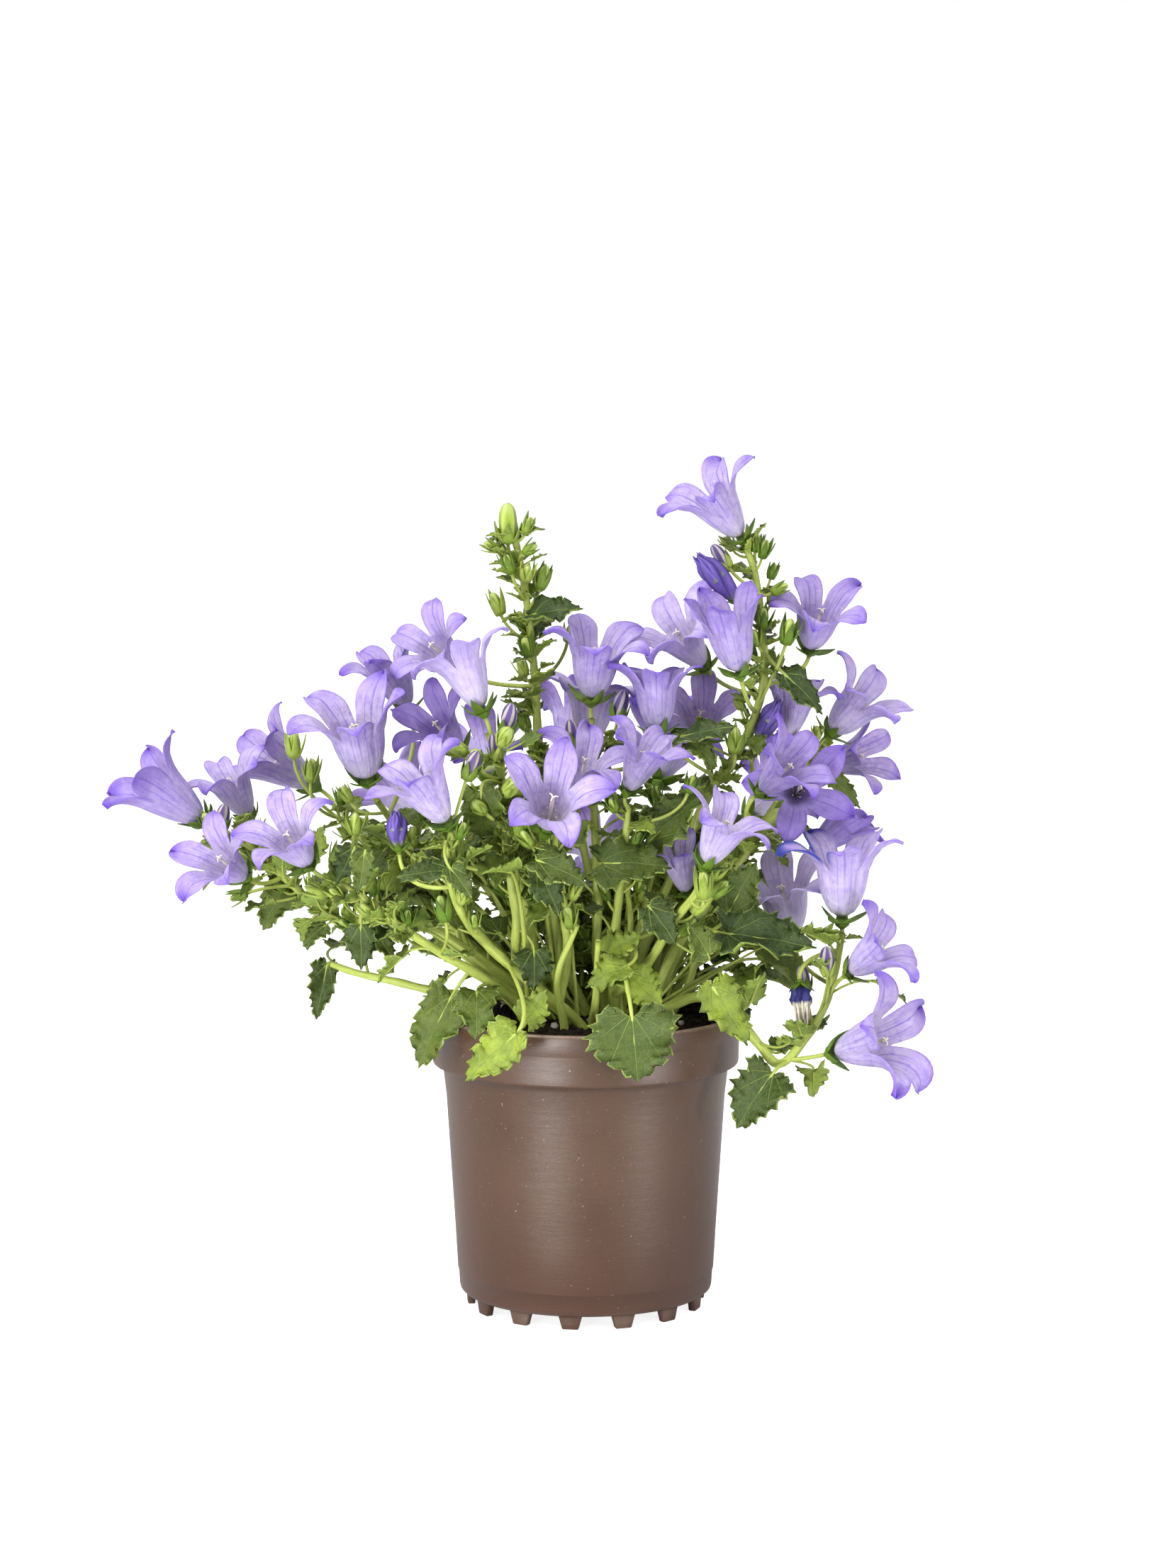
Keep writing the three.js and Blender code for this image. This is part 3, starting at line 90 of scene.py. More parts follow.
# Open blooms: stem, base, direction, size, how far the lobes spread, turn of the lobes, and
# for some how pale (below 0) or dark they are
BLOOMS = table("""
reach_left -130 4 165 -.78 -.1 .6 1.1 .5 30 .5;
reach_left -114 -14 148 -.52 -.7 .48 .9 .75 0 .4;
low_left -91 -34 155 -.4 -.6 .69 .95 .75 60 .3; reach_left -116 22 164 -.4 -.25 .88 .9 .8 12;
far_left -96 34 172 -.76 -.3 .55 1.1 .5 6; bell_left -73 -12 181 -.16 -.35 .92 1.2 .6 24 .15;
bell_left -61 18 202 -.39 -.2 .9 .9 .4 0 .3; bud_spire -43 12 217 -.57 -.6 .55 .9 .8 6 .4;
light_bell -34 -28 206 -.4 .1 .91 1 .8 0 -.45; light_bell -43 4 189 -.5 -.55 .66 .9 .6 0 .8;
front_low -45 -54 171 -.46 -.25 .85 1 .6 66 -.15; front_mid -12 -46 169 .07 -.78 .62 1.05 .7 36;
centre -3 -22 175 .2 -.4 .89 .9 .9 48; centre 2 -2 207 .1 -.3 .95 1.05 .65 6 .3;
centre 1 22 188 .1 .05 .99 1.05 .85 0; centre 24 -8 197 -.04 .1 1 .9 .6 36 .4;
tall_right 40 0 217 -.55 -.45 .7 1 .8 36 -.35; tall_right 51 -14 217 -.22 -.2 .95 1 .3 20 .4;
tall_right 40 22 192 -.05 -.8 .6 .9 .7 24; tall_right 52 0 261 -.58 -.2 .79 1 .7 48;
tall_right 76 6 223 .15 -.5 .85 .95 .8 12 .5; right_back 84 16 194 .65 -.3 .69 .95 .65 12;
right_back 69 6 192 .12 -.1 .98 .85 .7 36; right_star 71 2 174 .05 -.96 .25 1 .9 0 .9;
right_star 58 -24 178 .6 -.5 .62 .9 .6 6 .6; right_back 84 36 180 .8 -.5 .3 .85 .6 6;
right_bell 39 -50 157 .42 -.2 .88 .95 .85 0 .05; right_star 79 18 154 .78 0 .62 .8 .4 0 .9;
arch_right 85 -26 136 0 -.05 1 1.15 .7 36; arch_right 70 -16 126 -.2 -.3 .93 1.1 .85 54 -.6;
arch_right 87 -34 119 .7 -.35 .62 .85 .7 0; arch_right 82 -38 93 .8 -.5 .3 1.15 .8 18;
centre_right 34 -2 141 -.2 -.24 .95 .75 .5 0; centre_right 14 -28 179 .36 -.3 .88 .85 .65 12 .3;
back_left -58 58 158 -.5 .6 .62 1 .7 10; back_left_up -34 66 172 -.1 .7 .7 1.05 .75 30;
back_mid -6 60 182 .1 .5 .85 1 .7 0; back_right_up 26 64 172 .2 .75 .62 1.1 .8 50;
back_right 58 60 160 .6 .6 .5 1 .7 20; back_low 4 84 138 0 .9 .4 1 .8 40;""")
BULGY, BRUISED = {6, 14, 16, 18, 22, 29, 30}, 29
# Closed buds and the withered bloom: node, stem, base, tip, radius, skin
CLOSED = table("""
bud_dark front_low -61 -40 161 -62 -40 173 3.4 bud;
bud_long tall_right 51 -8 240 37 -12 255 4 bud; bud_open right_back 58 0 192 65 -2 206 3.6 bud;
bloom_spent arch_right 71 -30 114 72 -32 103 2.6 spent;""")
# Larger leaves: stem, base and tip of the blade, width, and for some their youth
LEAVES = table("""
centre_right 15 -57 108 17 -62 88 30; front_low -19 -47 105 -13 -50 116 12 .85;
front_low -23 -57 103 -39 -62 90 15 .8; low_left -45 -26 109 -57 -29 87 17;
light_bell -17 -30 125 -17 -36 114 14; centre_right 13 -38 122 0 -43 117 12 .7;
centre_right 14 -44 119 25 -52 110 14 .95; centre_right 7 -34 125 18 -38 132 12 .9;
centre_right 6 -30 155 27 -36 157 20; right_bell 21 -36 141 30 -42 131 14;
right_bell 40 -40 126 34 -44 137 12; right_star 48 -30 131 75 -44 130 19;
arch_right 42 -42 115 53 -52 99 14 .7; arch_right 61 -38 85 49 -44 70 19;
right_star 48 -14 137 55 -20 154 15; centre_right 22 -24 162 37 -30 178 17;
tall_right 32 -14 195 49 -20 200 9; tall_right 35 -16 193 44 -20 186 9;
tall_right 67 -4 215 80 -8 204 10; light_bell -34 -38 162 -34 -46 180 14;
front_low -44 -52 156 -60 -58 156 10; front_low -43 -54 157 -36 -60 149 9;
front_mid -15 -44 158 0 -50 153 13; front_mid -15 -46 154 -8 -52 141 12;
front_mid -10 -30 158 0 -36 170 13; low_left -76 -38 160 -82 -42 149 10;
low_left -72 -40 159 -74 -44 147 8; low_left -74 -34 134 -74 -36 120 12;
bell_left -71 -6 127 -64 -8 118 8; reach_left -88 -4 130 -96 -6 124 8;
long_leaf -88 2 115 -92 0 97 9; reach_left -102 -2 143 -110 -8 128 13;
bud_spire -17 -2 235 -2 -8 239 10; right_star 84 12 178 94 8 170 8;""")
# Green buds: stem, base, direction, size, and whether they are striped with purple
BUDS = table("""
bud_spire -26 -2 261 0 1 1.7; bud_spire -15 -4 245 .3 1 1.2; bud_spire -29 2 236 -.4 1 1.2;
bud_spire -20 -4 256 .9 .6 .8; bud_spire -30 -2 257 -.9 .5 .8; bud_spire -25 -6 250 -.3 1 1;
bud_spire -6 10 226 .2 1 .9; reach_left -115 -6 141 -.9 -.3 .9; reach_left -89 -6 141 -.2 1 1;
reach_left -123 -4 163 .2 1 1.3 striped; far_left -100 20 186 0 1 1.3;
far_left -94 16 178 .1 1 1.2; low_left -83 -30 155 .3 1 1; low_left -76 -34 166 .1 1 1.1;
bell_left -79 -12 174 -.5 1 .9; light_bell -29 -36 191 -.2 1 1.1 striped;
light_bell -26 -34 199 .2 1 1.4 striped; front_low -38 -50 186 .4 1 1.3 striped;
front_mid -19 -46 169 -.5 1 1; low_left -46 -44 139 -.2 1 1.3;
centre -3 -8 192 -.3 1 1.3 striped; centre 11 -6 201 .2 1 1.4 striped;
tall_right 57 0 257 .1 1 .9; tall_right 63 -4 243 .9 .5 .9;
tall_right 47 -4 252 -.6 .8 1.2 striped; tall_right 67 -6 227 .2 1 1.3;
tall_right 79 4 212 .1 1 1.4 striped; tall_right 50 -12 191 0 1 1.3;
centre_right 34 -26 179 .3 1 .9; right_bell 38 -52 148 0 1 1.3;
arch_right 80 -30 119 -.1 1 1.3 striped; arch_right 73 -24 112 -.2 1 1.2 striped;""")
# Young buds (stem, base, direction, size) and leaves (stem, base, tip, width, youth) that
# stand in front of blooms
YOUNG_BUDS = table("""
light_bell -40 -41 193 -.9 .3 1.2; light_bell -27 -43 196 .4 .8 1.2;
light_bell -35 -43 190 -.3 .9 .9; light_bell -22.5 -41 186 .6 .6 1;
light_bell -25.5 -44 180 .5 .5 1.2; light_bell -33.5 -45 174 -.6 .6 1;
light_bell -21 -43 166 .3 1 1.35; light_bell -42 -44 161 -.2 1 1.35;""")
YOUNG_LEAVES = table("""
light_bell -21 -37 195 -14 -40 199 7 .25; light_bell -26 -42 170 -19 -47 164 8 .4;""")
# Place in LEAVES of the blade that hangs
HANGING_LEAF = 19

AMBIENT, KEY, FILL, BACK = 0.61, 2.5, 0.85, 0.8
# Small leaves and bracts per millimetre of stem, tries for what grows from the soil, and
# the height under which stems are nearly bare
FILL_PER_MM, BRACTS_PER_MM, GROUND_TRIES, SHOOT_TRIES, BARE_BELOW = 0.2, 0.32, 520, 160, 122

# Sizes and rules shared with the part's source
SOIL_CROWN, STEM_DEPTH = 98.2, 7
STEM_RADIUS, BRANCH_RADIUS, TIP_RADIUS = 2.0, 1.75, 1.15
TUBE_LENGTH, MOUTH_RADIUS, LOBE_LENGTH, LOBES = 14.5, 7.4, 15.0, 5
LOBE_VARIETY, LEAF_WAVE = 0.12, 0.05
BELL_SEAT, HALF_BLADE = 0.6, 0.35
TOOTHED_FROM, LOBED_FROM = 16, 10
ATTACH_SAMPLES, GOLDEN_ANGLE = 60, 137.5
SHIFTS = [0, 3, -3, 6, -6, 9, -9, 12, -12, 15, -15, 18, -18]
DROPS, LIFTS = [0, -4, 4, -8, -14], [0, -3, 3, -7, 6]
LEAF_DROPS, TURNS = [0, -8, 8, -16], [0, 55, -55, 110, -110, 180]
FOUND_WITHIN = 0.05

rng = np.random.default_rng(11)


def vec(*xyz):
    return np.array(xyz, float)


UP, SIDEWAYS, TOWARD_VIEWER = vec(0, 0, 1), vec(1, 0, 0), vec(0, -0.75, 0.66)
AROUND = UP, SIDEWAYS, vec(0, 1, 0)


def unit(v):
    return v / np.linalg.norm(v)


def axes_along(direction):
    along = unit(np.array(direction, float))
    side = unit(np.cross(along, SIDEWAYS if abs(along[2]) > 0.97 else UP))
    return along, side, np.cross(side, along)


def radial(axes, degrees):
    angle = math.radians(degrees)
    return axes[1] * math.cos(angle) + axes[2] * math.sin(angle)


def turned(axes, degrees):
    side = radial(axes, degrees)
    return axes[0], side, np.cross(side, axes[0])


def placed(base, axes, *amounts):
    """Points at amounts of each of the axes from base."""
    for amount, axis in zip(amounts, axes):
        base = base + np.multiply.outer(amount, axis)
    return base


def columns_of(*values):
    return np.column_stack(np.broadcast_arrays(*values))


def resampled(line, shares):
    """Points of a line at numbers of its corners."""
    return np.column_stack([np.interp(shares, range(len(line)), line[:, k]) for k in range(3)])


def spans(line):
    """Lengths of a line's steps."""
    return np.linalg.norm(np.diff(line, axis=0), axis=1)


def catmull(points, t):
    """Points of the smooth curve through points, at shares t of its spans."""
    p = np.array(points, float)
    ends = np.vstack([2 * p[0] - p[1], p, 2 * p[-1] - p[-2]])
    x = np.asarray(t) * (len(p) - 1)
    i = np.minimum(x.astype(int), len(p) - 2)
    w = (x - i)[:, None]
    before, start, end, after = ends[i], ends[i + 1], ends[i + 2], ends[i + 3]
    leave, arrive = (end - before) / 2, (after - start) / 2
    return (start + leave * w + (3 * (end - start) - 2 * leave - arrive) * w**2
            + (2 * (start - end) + leave + arrive) * w**3)


def evenly(points, steps):
    """The same curve's points at even distances."""
    t = np.linspace(0, 1, 201)
    lengths = np.append(0, np.cumsum(spans(catmull(points, t))))
    return catmull(points, np.interp(np.linspace(0, lengths[-1], steps + 1), lengths, t))


def stalk_curve(root, seat, arrival, lift=0, count=9):
    before = seat - arrival * min(0.45 * np.linalg.norm(root - seat), 10) + UP * lift
    t = np.linspace(0, 1, count)[:, None]
    return (1 - t) ** 2 * root + 2 * (1 - t) * t * before + t**2 * seat


# Meshes ---------------------------------------------------------------------------------
def link(name, data):
    made = bpy.data.objects.new(name, data)
    bpy.context.scene.collection.objects.link(made)
    return made


class Body:
    """Collects the surfaces of one piece. form and look are two vectors per point that the
    materials read."""

    def __init__(self):
        self.points, self.forms, self.looks, self.faces, self.slots = [], [], [], [], []
        self.count = 0

    def add(self, points, faces, slot, form=(0, 0, 0), look=(0, 0, 0)):
        self.points.append(points)
        self.forms.append(np.broadcast_to(form, (len(points), 3)))
        self.looks.append(np.broadcast_to(look, (len(points), 3)))
        self.faces += [[i + self.count for i in face] for face in faces]
        self.slots.append(np.broadcast_to(slot, len(faces)))
        self.count += len(points)

    def shape(self, name):
        mesh = bpy.data.meshes.new(name)
        mesh.from_pydata((np.vstack(self.points) * MM + OFFSET).tolist(), [], self.faces)
        return link(name, mesh)

    def finish(self, name, materials, nodes, slot):
        piece = self.shape(name)
        mesh = piece.data
        for key, rows in (("form", self.forms), ("look", self.looks)):
            attribute = mesh.attributes.new(key, "FLOAT_VECTOR", "POINT")
            attribute.data.foreach_set("vector", np.vstack(rows).astype(np.float32).ravel())
        for material in materials:
            mesh.materials.append(material)
        mesh.polygons.foreach_set("material_index", np.concatenate(self.slots).astype(np.int32))
        mesh.polygons.foreach_set("use_smooth", np.ones(len(self.faces), bool))
        mesh.update()
        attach(piece, "root")
        if nodes:
            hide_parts(*nodes)
        return piece


def grid(rows, columns, closed=False):
    """Quads of a grid of points, row after row."""
    quads = []
    for a in range(0, (rows - 1) * columns, columns):
        for c in range(columns if closed else columns - 1):
            n = (c + 1) % columns
            quads.append((a + c, a + n, a + columns + n, a + columns + c))
    return quads


def loft(body, rings, slot, form=(0, 0, 0), look=(0, 0, 0)):
    """A closed form through rings of points, with a cap at each end."""
    sides, points = len(rings[0]), np.vstack(rings)
    last = len(points)
    faces = grid(len(rings), sides, True) + [tuple(range(sides)),
                                             tuple(range(last - 1, last - 1 - sides, -1))]
    volume = sum(points[face[0]].dot(np.cross(points[b], points[c]))
                 for face in faces for b, c in zip(face[1:], face[2:]))
    if volume < 0:
        faces = [face[::-1] for face in faces]
    body.add(points, faces, slot, form, look)


def normals_of(points, faces):
    total = np.zeros_like(points)
    for size in (3, 4):
        some = np.array([f for f in faces if len(f) == size], int)
        if len(some):
            corner = points[some].swapaxes(0, 1)
            normal = np.cross(corner[size - 2] - corner[0], corner[-1] - corner[size - 3])
            for k in range(size):
                np.add.at(total, some[:, k], normal)
    return total / np.maximum(np.linalg.norm(total, axis=1), 1e-9)[:, None]


def rim_of(faces):
    """Edges that only one face has, in that face's direction."""
    edges = {}
    for face in faces:
        for a, b in zip(face, face[1:] + face[:1]):
            if (b, a) in edges:
                del edges[(b, a)]
            else:
                edges[(a, b)] = True
    return list(edges)


def add_sheet(body, points, faces, rim, thickness, slots, form, look=(0, 0, 0)):
    """A thin closed sheet: slots are the materials of its front, back and edge."""
    n = len(points)
    offset = normals_of(points, faces) * (thickness / 2)
    both = np.vstack([points + offset, points - offset])
    back = [tuple(i + n for i in reversed(face)) for face in faces]
    edge = [(b, a, a + n, b + n) for a, b in rim]
    body.add(both, list(faces) + back + edge,
             np.repeat(slots, (len(faces), len(back), len(edge))), np.tile(form, (2, 1)),
             np.tile(np.broadcast_to(look, (n, 3)), (2, 1)))


def add_tube(body, centres, radii, slot, sides=7, tone=0.0, ribs=0.0, flat=1.0):
    """A closed tube through the centres. form is the length along it, the angle and tone."""
    along = np.gradient(centres, axis=0)
    along /= np.linalg.norm(along, axis=1)[:, None]
    side = axes_along(along[0])[1]
    length = np.append(0, np.cumsum(spans(centres)))
    angles = np.arange(sides) * 2 * math.pi / sides
    rings, form = [], []
    for k, centre in enumerate(centres):
        side = unit(side - along[k] * side.dot(along[k]))
        swell = radii[k] * (1 + ribs * np.cos(5 * angles))
        rings.append(placed(centre, (side, np.cross(side, along[k])), np.cos(angles) * swell,
                            np.sin(angles) * swell * flat))
        form.append(columns_of(length[k], angles, tone))
    loft(body, rings, slot, np.vstack(form), (length[-1], 0, 0))


def add_turned(body, origin, axes, profile, slot, sides, tone, folds, twist=0.0):
    """A turned form: profile is rows of height along the axis and radius, from end to end."""
    profile = np.asarray(profile, float)
    angles = np.arange(sides) * 2 * math.pi / sides
    rings, form = [], []
    for height, radius in profile:
        share = (height - profile[0, 0]) / (profile[-1, 0] - profile[0, 0])
        swell = radius * (1 + folds * np.cos(5 * (angles + twist * share)))
        rings.append(placed(origin, axes, height, np.cos(angles) * swell, np.sin(angles) * swell))
        form.append(columns_of(share, angles + twist * share, tone))
    loft(body, rings, slot, np.vstack(form))


# Leaves ---------------------------------------------------------------------------------
def leaf_template(columns, text):
    """Flat points (along, across, share from rib to edge), faces and rim of a blade, from
    its half outline: shares of its length and of its half width."""
    half = table(text)
    points, index, faces = [], {}, []

    def number(a, c, share):
        key = (round(a, 5), round(c, 5))
        if key not in index:
            index[key] = len(points)
            points.append((a, c, share))
        return index[key]

    for sign in (1, -1):
        rows = []
        for j, (a, c) in enumerate(half):
            rib = (j / (len(half) - 1)) ** 1.15
            rows.append([number(rib + (a - rib) * k / columns, sign * c * k / columns, k / columns)
                         for k in range(columns + 1)])
        for low, high in zip(rows, rows[1:]):
            for k in range(columns):
                face = [low[k], low[k + 1], high[k + 1], high[k]][::sign]
                face = tuple(i for n, i in enumerate(face) if i != face[n - 1])
                if len(set(face)) == len(face) > 2:
                    faces.append(face)
    return np.array(points).T, faces, rim_of(faces)


TEMPLATES = {
    "toothed": leaf_template(4, """
-.03 .04; -.1 .16; -.17 .32; -.15 .46; -.2 .5; -.14 .66; -.08 .68; -.1 .8; 0 .9; .04 1;
.09 .86; .16 .95; .24 1.04; .27 .85; .35 .94; .45 .97; .45 .76; .53 .82; .64 .8; .62 .6;
.7 .62; .79 .56; .77 .38; .85 .36; .92 .26; .9 .14; 1 0;"""),
    "lobed": leaf_template(3, """
-.02 .05; -.07 .22; -.12 .42; -.1 .62; 0 .7; .03 .88; .12 .98; .16 .78; .25 .96; .35 1.02;
.34 .74; .45 .84; .55 .84; .53 .58; .64 .62; .74 .56; .71 .36; .82 .34; .89 .22; .87 .12;
1 0;"""),
    "narrow": leaf_template(2, """
0 .1; .06 .42; .16 .62; .3 1.05; .36 .7; .55 .84; .58 .5; .77 .46; .79 .22; 1 0;""")}


def make_blade(base, tip, face, width, fold, curl, phase):
    span = tip - base
    along = unit(span)
    side = unit(np.cross(along, face))
    return Row(base=base, tip=tip, length=np.linalg.norm(span), width=width, fold=fold, curl=curl,
               phase=phase, axes=(along, side, np.cross(side, along)))


def blade_point(blade, a, c):
    """Points of the blade's middle surface."""
    height = (blade.fold * (np.sqrt(c * c + 0.003) - 0.055) - blade.curl * a * a
              + LEAF_WAVE * np.sin(9 * a + blade.phase) * np.abs(c))
    return placed(blade.base, blade.axes, a * blade.length, c * blade.width / 2,
                  height * blade.length)


def add_leaf(stem, blade, stalk, tone, rng):
    body, length, width = bodies[stem.node], blade.length, blade.width
    is_narrow = length < LOBED_FROM
    (a, c, share), faces, rim = TEMPLATES[
        "narrow" if is_narrow else "lobed" if length < TOOTHED_FROM else "toothed"]
    wobble = rng.uniform(0, 6.3, 4)
    a = a + share * 0.035 * np.sin(7 * c + wobble[0]) * (1 - a)
    uneven = (0.1 * np.sin(7 * a + wobble[1] + 1.5 * np.sign(c))
              + 0.08 * np.sin(31 * a + 5 * wobble[0]))
    c = c * (1 + share * uneven)
    angle = np.arctan2(np.abs(c) * width / 2, (a + 0.06) * length)
    quilt = np.cos(angle / math.radians(15)) * share * (1 - 0.5 * share)
    ruffle = (np.sin(13 * a + wobble[2] + 2 * np.sign(c)) * share**2
              + 0.5 * np.sin(29 * a + wobble[3]) * share**4)
    lift = length * (-0.018 * quilt + 0.065 * ruffle + 0.08 * np.sin(5 * a + wobble[1]) * c
                     + 0.008 * np.sin(14 * a + 9 * c + wobble[3]))
    points = blade_point(blade, a, c) + np.multiply.outer(lift, blade.axes[2])
    add_sheet(body, points, faces, rim, min(0.5, 0.22 + 0.018 * length), (TOP, UNDER, TOP),
              columns_of(a * length, c * width / 2, tone), columns_of(share, wobble[0], length))
    count = 4 if is_narrow else 8
    rib = blade_point(blade, np.linspace(0, 0.9, count), np.zeros(count))
    rib = rib - np.outer(np.linspace(0.25, 0.12, count), blade.axes[2])
    radius = min(0.62, 0.2 + 0.022 * length)
    add_tube(body, rib, np.linspace(radius, 0.12, count), STEM, 4 if is_narrow else 5, tone)
    if stalk is not None:
        bend = np.vstack([stalk[::2] if is_narrow else stalk, rib[1]])
        add_tube(body, bend, np.linspace(radius * 1.35, radius, len(bend)), STEM, 6, tone,
                 flat=0.8)


# Flowers --------------------------------------------------------------------------------
SIDES = 12 * LOBES
TUBE_ROWS, LOBE_ROWS, LOBE_COLUMNS = 8, 13, 13
# Rows of the bell's tube: height and radius for a bloom of size 1
BELL = np.array(table(""".5 .9; 1.3 2.1; 2.4 2.95; 3.9 3.65; 6 4.5; 8.3 5.35; 10.6 6.15;
12.7 6.8; 14.5 7.4"""))
# Half width of a lobe along its length
LOBE_SHAPE = np.array(table("""0 4.35; .1 4.35; .25 4.8; .4 5.2; .52 5.1; .64 4.6; .75 3.75;
.85 2.6; .93 1.45; .98 .6; 1 .1""")).T
BUD_SHAPE = np.array(table("""-1.5 .55; -.9 1.15; 0 1.65; 1.4 1.9; 3.2 2.05; 4.8 1.85;
5.9 1.4; 6.5 .85; 6.8 .12"""))
CLOSED_SHAPE = np.array(table("""0 .3; .05 .5; .2 .72; .36 .88; .52 .98; .66 1; .78 .86;
.9 .5; .97 .22; 1 .06"""))


def bell_faces():
    faces = grid(TUBE_ROWS, SIDES, closed=True)
    first = TUBE_ROWS * SIDES
    for k in range(LOBES):
        row = [first - SIDES + (12 * k - 6 + c) % SIDES for c in range(LOBE_COLUMNS)]
        for r in range(LOBE_ROWS):
            start = first + (k * LOBE_ROWS + r) * LOBE_COLUMNS
            above = list(range(start, start + LOBE_COLUMNS))
            faces += zip(row, row[1:], above[1:], above)
            row = above
    return faces


BELL_FACES = bell_faces()
BELL_RIM = rim_of(BELL_FACES)


def add_bell(body, bloom, slots, rng):
    """The corolla: a tube that opens into five lobes, which bend out and roll back."""
    base, axes, s = bloom.base, bloom.axes, bloom.size
    rows = np.linspace(0, 1, TUBE_ROWS) ** 0.8
    heights = np.interp(rows, np.linspace(0, 1, len(BELL)), BELL[:, 0])
    radii = np.interp(heights, *BELL.T)
    radii += bloom.bulge * np.sin(math.pi * (heights / TUBE_LENGTH) ** 0.7)
    angles = np.arange(SIDES) * 360 / SIDES
    out = np.array([radial(axes, a) for a in angles])
    ridge = np.cos(np.radians(5 * angles))
    crease = np.exp(-(((angles / 72) % 1 - 0.5) / 0.07) ** 2)
    share = (np.abs((angles / 72 + 0.5) % 1 - 0.5)) * 2
    points, form = [], []
    for height, radius in zip(heights, radii):
        swell = radius * s * (1 + 0.04 * ridge * min(1, height / 8)
                              - 0.05 * crease * min(1, height / 5))
        points.append(base + axes[0] * height * s + out * swell[:, None])
        form.append(columns_of(0.5 * height / TUBE_LENGTH, share, bloom.tone))
    spread = np.linspace(-1, 1, LOBE_COLUMNS)
    along_lobe = 1 - (1 - np.linspace(0, 1, LOBE_ROWS + 1)[1:]) ** 1.25
    for k in range(LOBES):
        vary = LOBE_VARIETY * math.sin(12.9 * bloom.index + 7.7 * k)
        opening = (bloom.flare + vary) * math.pi / 2
        roll = rng.uniform(0.1, 1.2) + 0.35 * bloom.flare
        twist, lean = rng.uniform(-0.6, 0.6), rng.uniform(-0.16, 0.16)
        phase, ruffle, fold_up = rng.uniform(0, 6.3), rng.uniform(0.2, 0.9), rng.uniform(-0.6, 3.2)
        wrinkle = rng.uniform(0.12, 0.42) * s
        outward, tangent = radial(axes, 72 * k), radial(axes, 72 * k + 90)
        fine = np.linspace(0, 1, 61)
        angle = opening * (0.3 + 0.95 * fine) + roll * fine**3
        step = LOBE_LENGTH * s / 60
        radius = MOUTH_RADIUS * s * 1.02 + np.append(0, np.cumsum(np.sin(angle[:-1])) * step)
        height = TUBE_LENGTH * s + np.append(0, np.cumsum(np.cos(angle[:-1])) * step)
        for l in along_lobe:
            r, h, t = (np.interp(l, fine, line) for line in (radius, height, angle))
            inward = -math.cos(t) * outward + math.sin(t) * axes[0]
            x = spread * (np.interp(l, *LOBE_SHAPE) * s)
            cup = (1.41 * (1 - l) ** 2 + (fold_up + 0.4) * l - 0.9 * l**3) * s
            depth = (cup * spread**2
                     - 0.34 * s * np.exp(-(x / (0.7 * s)) ** 2) * (1 - l * 0.5)
                     + twist * x * l**1.5 + ruffle * s * np.sin(9 * l + phase) * spread**3 * l
                     + wrinkle * np.sin(11 * l + 2 * phase) * np.cos(4 * spread + phase)
                     * min(1, 3 * l))
            points.append(placed(base, (axes[0], outward, tangent, inward), h, r,
                                 x + lean * LOBE_LENGTH * s * l**2, depth))
            form.append(columns_of(0.5 + 0.5 * l, np.abs(spread), bloom.tone))
    points = np.vstack(points)
    lanes = [np.tile(angles / 72 * 9, TUBE_ROWS)]
    lanes += [np.tile(k * 9 + spread * 4.5, LOBE_ROWS) for k in range(LOBES)]
    look = columns_of(np.concatenate(lanes), bloom.index,
                      bloom.bruise * np.clip((base[0] - 2 - points[:, 0]) / (5 * s), 0, 1))
    faces, rim = BELL_FACES, BELL_RIM
    if normals_of(points, faces)[SIDES * 5] @ out[0] < 0:
        faces, rim = [face[::-1] for face in faces], [edge[::-1] for edge in rim]
    add_sheet(body, points, faces, rim, 0.34, slots, np.vstack(form), look)


def add_style(body, bloom, slot, rng):
    """The style with its three curled stigmas, and five stamens round its foot."""
    base, axes, s = bloom.base, bloom.axes, bloom.size
    length = (15.5 if bloom.flare > 0.55 else 13) * s
    lean = radial(axes, rng.uniform(0, 360)) * rng.uniform(0, 1.2)
    t, u, v = np.linspace(0, 1, 9), np.linspace(0, 1, 6), np.linspace(0, 1, 5)
    line = placed(base, (axes[0], lean), t * length + 0.6, t**2)
    add_tube(body, line, np.interp(t, [0, 0.55, 0.7, 1], [0.38, 0.42, 0.7, 0.6]) * s, slot)
    for k in range(3):
        curl = placed(line[-1], (axes[0], radial(axes, 120 * k + 20)),
                      np.sin(u * 2.4) * 1.1 * s, (1 - np.cos(u * 2.4)) * 0.9 * s)
        add_tube(body, curl, np.linspace(0.36, 0.2, 6) * s, slot, 5)
    for k in range(LOBES):
        thread = placed(base, (axes[0], radial(axes, 72 * k + 36)), 1 + v * 6.5 * s,
                        (0.9 + 1.3 * v) * s)
        add_tube(body, thread, np.interp(v, [0, 0.6, 1], [0.3, 0.14, 0.3]) * s, slot, 4)


def add_sepal(body, origin, axes, degrees, start, end, width, slot, tone, bow, rows=6, columns=5):
    """A narrow pointed sepal from start to end, both height and radius."""
    own_axes = axes[0], radial(axes, degrees), radial(axes, degrees + 90)
    (h0, r0), (h1, r1) = start, end
    x = np.linspace(-1, 1, columns)
    points, form = [], []
    for u in np.linspace(0, 1, rows):
        bulge = bow * math.sin(math.pi * u)
        half = width / 2 * np.interp(u, [0, 0.25, 0.6, 1], [0.75, 1, 0.72, 0.04])
        points.append(placed(origin, own_axes, h0 + (h1 - h0) * u - bulge * 0.5,
                             r0 + (r1 - r0) * u + bulge - 0.25 * half * x**2, x * half))
        form.append(columns_of(u, x, tone))
    faces = grid(rows, columns)
    add_sheet(body, np.vstack(points), faces, rim_of(faces), 0.32, (slot, slot, slot),
              np.vstack(form))


